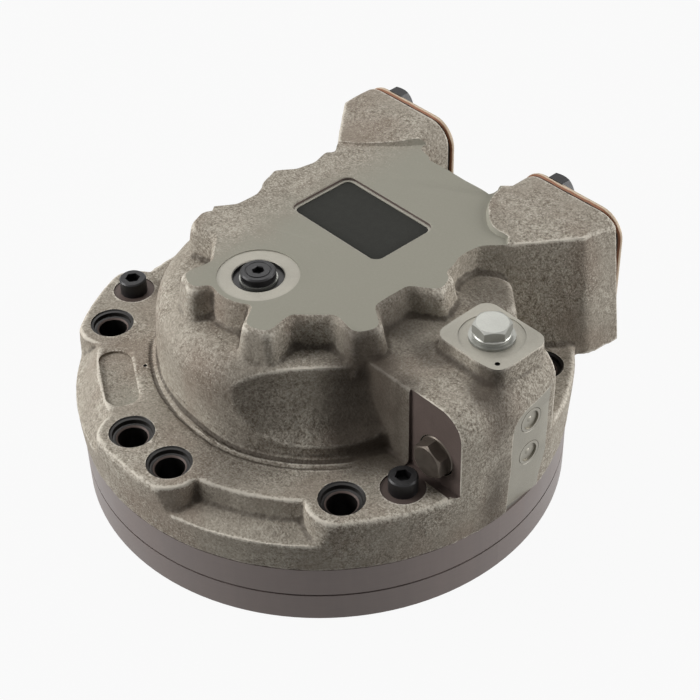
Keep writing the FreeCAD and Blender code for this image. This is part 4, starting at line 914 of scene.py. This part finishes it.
def bead_depth(place):
    """How deep the two grooves round the dome's foot are at a place."""
    angle = math.degrees(math.atan2(place.y, place.x)) % 360
    radius, height = math.hypot(place.x, place.y) / MM, place.z / MM
    ends = (BEAD[0][0], BEAD[-1][0])
    zone = ((angle, ends), (height, BEAD_HEIGHTS), (radius, BEAD_RADII))
    if not all(low < value < high for value, (low, high) in zone):
        return 0.0
    for (a, low), (b, high) in zip(BEAD, BEAD[1:]):
        if a <= angle <= b:
            groove = low + (high - low) * (angle - a) / (b - a)
    fade = min(1.0, (angle - ends[0]) / 5, (ends[1] - angle) / 5)
    out = radius - groove
    inner, middle = out + BEAD_WIDTH, out + BEAD_WIDTH / 2
    depth = math.exp(-out * out) + 0.9 * math.exp(-inner * inner) - 0.5 * math.exp(-middle * middle)
    return fade * depth * MM


def soften(casting, settings):
    """Remeshes the casting and rounds its edges, then lets its skin wander inwards."""
    remesh = casting.modifiers.new("skin", "REMESH")
    remesh.mode = "VOXEL"
    remesh.voxel_size = settings.voxel
    smooth = casting.modifiers.new("edges", "SMOOTH")
    smooth.factor = 0.5
    smooth.iterations = settings.softening
    settle(casting)
    data = casting.data
    normals = [vert.normal.copy() for vert in data.vertices]
    for vert, normal in zip(data.vertices, normals):
        wave = noise.fractal(vert.co / settings.wave_size, 1.0, 2.1, 3)
        vert.co -= normal * (settings.wave_height * (0.5 + 0.5 * wave) + bead_depth(vert.co))
    data.update()


def box_of(node):
    """Low corner, high corner and middle of a CAD node, in millimetres."""
    low, high = [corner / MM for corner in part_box(node)]
    return low, high, [(a + b) / 2 for a, b in zip(low, high)]


def stand_for(node, name, material, rings):
    """Shows a closed solid in place of a CAD node of the housing."""
    mesh = bmesh.new()
    add_solid(mesh, rings)
    piece = object_from(mesh, name, [material])
    piece.data.polygons.foreach_set("use_smooth", [True] * len(piece.data.polygons))
    piece.data.set_sharp_from_angle(angle=math.radians(25))
    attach(piece, "housing")
    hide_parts(node)


class CastCover(bpy.types.Operator):
    """Softened casting with its machining, in place of the plain cover"""

    bl_idname = "motor.cast_cover"
    bl_label = "Cast cover"

    def execute(self, context):
        tones = context.scene.motor_colours
        finishes = [cast_finish("cast_iron_skin"), cast_finish("crown_top", calm=True),
                    milled_finish("milled_iron", tones.milled, (1.0, 14.0, 1.0)),
                    # The bored and the dull milled finishes are painted shade
                    turned_finish("bored_iron_painted_shade", tones.bore, 0.38, 0.4),
                    milled_finish("milled_iron_painted_shade", tones.shaded, (1.0, 1.0, 10.0), 0.6, 0.2)]
        casting = object_from(raw_casting(), "cast_cover", finishes)
        soften(casting, context.scene.motor_casting)
        tools = [object_from(mesh, f"tool_{k}", finishes) for k, mesh in enumerate(machining())]
        combine([casting, combine(tools, "UNION")], "DIFFERENCE")
        for face in casting.data.polygons:
            level = max(abs(value) for value in face.normal) > 0.9999
            face.use_smooth = face.material_index in (CAST, BORE) or not level
        casting.data.set_sharp_from_angle(angle=math.radians(38))
        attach(casting, "housing")
        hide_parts("valve_cover")
        return {"FINISHED"}


class SteelRing(bpy.types.Operator):
    """Turned steel ring under the cover"""

    bl_idname = "motor.steel_ring"
    bl_label = "Steel ring"

    def execute(self, context):
        dress(ring_finish(), "cam_ring")
        return {"FINISHED"}


class Rotor(bpy.types.Operator):
    """Cylinder block with its pistons, rings, shells and rollers"""

    bl_idname = "motor.rotor"
    bl_label = "Rotor and pistons"

    def execute(self, context):
        tones = context.scene.motor_colours
        dress(turned_finish("block_iron_turned", [v * 0.8 for v in tones.steel], 0.42, 0.6), "cylinder_block")
        repeated = {"piston": turned_finish("piston_steel_ground", tones.steel, 0.3, 0.85),
                    "roller": turned_finish("roller_steel_ground", tones.steel, 0.2, 1.0),
                    "piston_ring": soft_finish("piston_ring_polymer", tones.polymer),
                    "roller_shell": coated_finish("bearing_shell_face", tones.bronze, 0.35, 0.8)}
        for name, finish in repeated.items():
            dress(finish, *[f"{name}_{k}" for k in range(1, 9)])
        return {"FINISHED"}


class OilWays(bpy.types.Operator):
    """Distributor, spool, springs and seals"""

    bl_idname = "motor.oil_ways"
    bl_label = "Distributor and valve"

    def execute(self, context):
        tones = context.scene.motor_colours
        dress(turned_finish("distributor_iron_turned", tones.steel, 0.4, 0.6), "distributor")
        dress(turned_finish("spool_steel_ground", tones.steel, 0.22, 1.0), "selector_spool")
        wire = coated_finish("spring_steel_wire", tones.phosphate, 0.38, 0.7)
        dress(wire, "distributor_spring", "selector_spring")
        dress(soft_finish("seal_rubber_black", tones.rubber), "cover_seal", "case_seal")
        dress(soft_finish("seal_polymer_bronze", tones.polymer), "distributor_seals")
        return {"FINISHED"}


class Plugs(bpy.types.Operator):
    """Screw plugs, pressed plugs, washers, screws and pins of the housing"""

    bl_idname = "motor.plugs"
    bl_label = "Plugs and screws"

    def execute(self, context):
        tones = context.scene.motor_colours
        black = coated_finish("black_oxide_coat", tones.black_oxide, 0.4, 0.3)
        dress(black, "assembly_screws", "port_cover_bolts")
        zinc = milled_finish("zinc_plate", tones.zinc, (6.0, 1.0, 1.0), 0.4, 0.6)
        phosphate = coated_finish("phosphate_coat", tones.phosphate, 0.36, 0.55)
        low, high, (x, y, _) = box_of("selector_plug")
        rings = placed(hex_plug(10.6, PLUG_FLATS, 8.6, 20), (x, y, high.z - PLUG_HEAD), (0, 0, 1))
        stand_for("selector_plug", "selector_plug_head", zinc, rings)
        low, high, (x, _, z) = box_of("side_plug")
        rings = placed(hex_plug(11.8, PLUG_FLATS, PLUG_HEAD), (x, low.y + PLUG_HEAD, z), (0, -1, 0))
        stand_for("side_plug", "side_plug_head", phosphate, rings)
        low, high, (x, y, _) = box_of("drain_plug")
        rings = placed(socket_plug(10.0, 6.0, DRAIN_HEAD), (x, y, high.z - DRAIN_HEAD), (0, 0, 1))
        stand_for("drain_plug", "drain_plug_head", black, rings)
        dress(milled_finish("plug_face", tones.milled, (1.0, 6.0, 1.0), 0.38, 0.5), "expander_plugs")
        dress(coated_finish("washer_metal", [v * 0.7 for v in tones.zinc], 0.4, 0.7),
              "selector_plug_seal", "side_plug_seal", "drain_plug_seal")
        dress(turned_finish("pin_steel", tones.steel, 0.25, 1.0), "dowel_pins")
        dress(coated_finish("window_plate_coat", tones.window, 0.85, 0.0, 0.0008, gloss=0.08), "blank_plate")
        return {"FINISHED"}


class PortPlates(bpy.types.Operator):
    """Plates and gaskets over the two ports"""

    bl_idname = "motor.port_plates"
    bl_label = "Port plates"

    def execute(self, context):
        coat = plate_finish()
        for side in ("left", "right"):
            low, high, _ = box_of(f"port_cover_{side}")
            rings = []
            for inset, away in PLATE_SECTION:
                x_range, z_range = (low.x + inset, high.x - inset), (low.z + inset, high.z - inset)
                outline = rounded_outline(x_range, z_range, PLATE_CORNER - inset)
                rings.append([(x, PORT_FACE + away, z) for x, z in outline])
            stand_for(f"port_cover_{side}", f"port_plate_{side}", coat, rings)
        dress(soft_finish("gasket_fibre", context.scene.motor_colours.gasket, 0.7), "port_gaskets")
        return {"FINISHED"}


def aimed(name, data, place, target):
    """Lamp or camera at a place, turned towards a target."""
    made = bpy.data.objects.new(name, data)
    bpy.context.scene.collection.objects.link(made)
    made.location = place
    made.rotation_mode = "QUATERNION"
    made.rotation_quaternion = (Vector(target) - Vector(place)).to_track_quat("-Z", "Y")
    return made


def add_lamp(name, place, size, power):
    """Square soft lamp that points at the motor."""
    light = bpy.data.lights.new(name, "AREA")
    light.shape = "SQUARE"
    light.size = size
    light.energy = power
    aimed(name, light, place, MOTOR_MIDDLE)


def background_rays(tree):
    """1 for rays that should meet a plain background, and 0 for the rest."""
    kinds = ("Is Camera Ray", "Is Glossy Ray", "Is Transmission Ray")
    seen, gloss, through = [tree.node("ShaderNodeLightPath", output=kind) for kind in kinds]
    return seen.math("MINIMUM", seen + gloss + through, 1.0)


class Stage(bpy.types.Operator):
    """Floor, soft lamps and the camera"""

    bl_idname = "motor.stage"
    bl_label = "Stage"

    def execute(self, context):
        scene, settings = context.scene, context.scene.motor_stage
        world = bpy.data.worlds.new("studio")
        world.use_nodes = True
        scene.world = world
        sky = Finish(world.node_tree)
        level = background_rays(sky) * (1.0 - settings.surround) + settings.surround
        light = sky.node("ShaderNodeBackground", {"Color": (1.0, 1.0, 1.0), "Strength": level})
        sky.node("ShaderNodeOutputWorld", {"Surface": light})

        sheet = bmesh.new()
        across = (-FLOOR_REACH, FLOOR_REACH)
        add_box(sheet, across, across, FLOOR_HEIGHTS)
        floor = object_from(sheet, "floor")
        material, paint = new_finish("floor_paint")
        matt = paint.node("ShaderNodeBsdfDiffuse", {"Color": settings.floor_colour})
        glow = paint.node("ShaderNodeEmission", {"Color": (1.0, 1.0, 1.0), "Strength": 1.0})
        share = background_rays(paint) * settings.floor_white
        shown = paint.node("ShaderNodeMixShader", {0: share, 1: matt, 2: glow})
        paint.node("ShaderNodeOutputMaterial", {"Surface": shown})
        floor.data.materials.append(material)

        add_lamp("lamp_key", (-0.61, 0.35, 1.29), 0.9, settings.key_level)
        add_lamp("lamp_left", (-0.80, -0.98, 0.60), 0.8, settings.left_level)
        add_lamp("lamp_right", (0.86, 0.76, 0.44), 0.7, settings.right_level)

        lens = bpy.data.cameras.new("camera")
        lens.lens = settings.lens
        lens.sensor_width = 36.0
        lens.clip_start, lens.clip_end = 0.05, 20.0
        camera = aimed("camera", lens, settings.camera_place, settings.camera_target)
        roll = Quaternion((0, 0, 1), settings.camera_roll)
        camera.rotation_quaternion = camera.rotation_quaternion @ roll
        scene.camera = camera
        scene.view_settings.view_transform = "Standard"
        return {"FINISHED"}


class MotorPanel(bpy.types.Panel):
    """Steps and settings of the motor"""

    bl_idname = "VIEW3D_PT_motor"
    bl_label = "Drive motor"
    bl_space_type = "VIEW_3D"
    bl_region_type = "UI"
    bl_category = "Motor"

    def draw(self, context):
        for step in STEPS:
            self.layout.operator(step.bl_idname)
        for group in (context.scene.motor_casting, context.scene.motor_colours, context.scene.motor_stage):
            for name in type(group).__annotations__:
                self.layout.prop(group, name)


STEPS = (CastCover, SteelRing, Rotor, OilWays, Plugs, PortPlates, Stage)
GROUPS = {"motor_casting": CastingSettings, "motor_colours": FinishColours, "motor_stage": StageSettings}


def register():
    for group in GROUPS.values():
        bpy.utils.register_class(group)
    for step in (*STEPS, MotorPanel):
        bpy.utils.register_class(step)
    for name, group in GROUPS.items():
        setattr(bpy.types.Scene, name, bpy.props.PointerProperty(type=group))


def unregister():
    for name in GROUPS:
        delattr(bpy.types.Scene, name)
    for step in (MotorPanel, *reversed(STEPS), *GROUPS.values()):
        bpy.utils.unregister_class(step)


def main():
    """Builds the scene."""
    register()
    for step in STEPS:
        group, name = step.bl_idname.split(".")
        getattr(getattr(bpy.ops, group), name)()


if __name__ == "__main__":
    main()
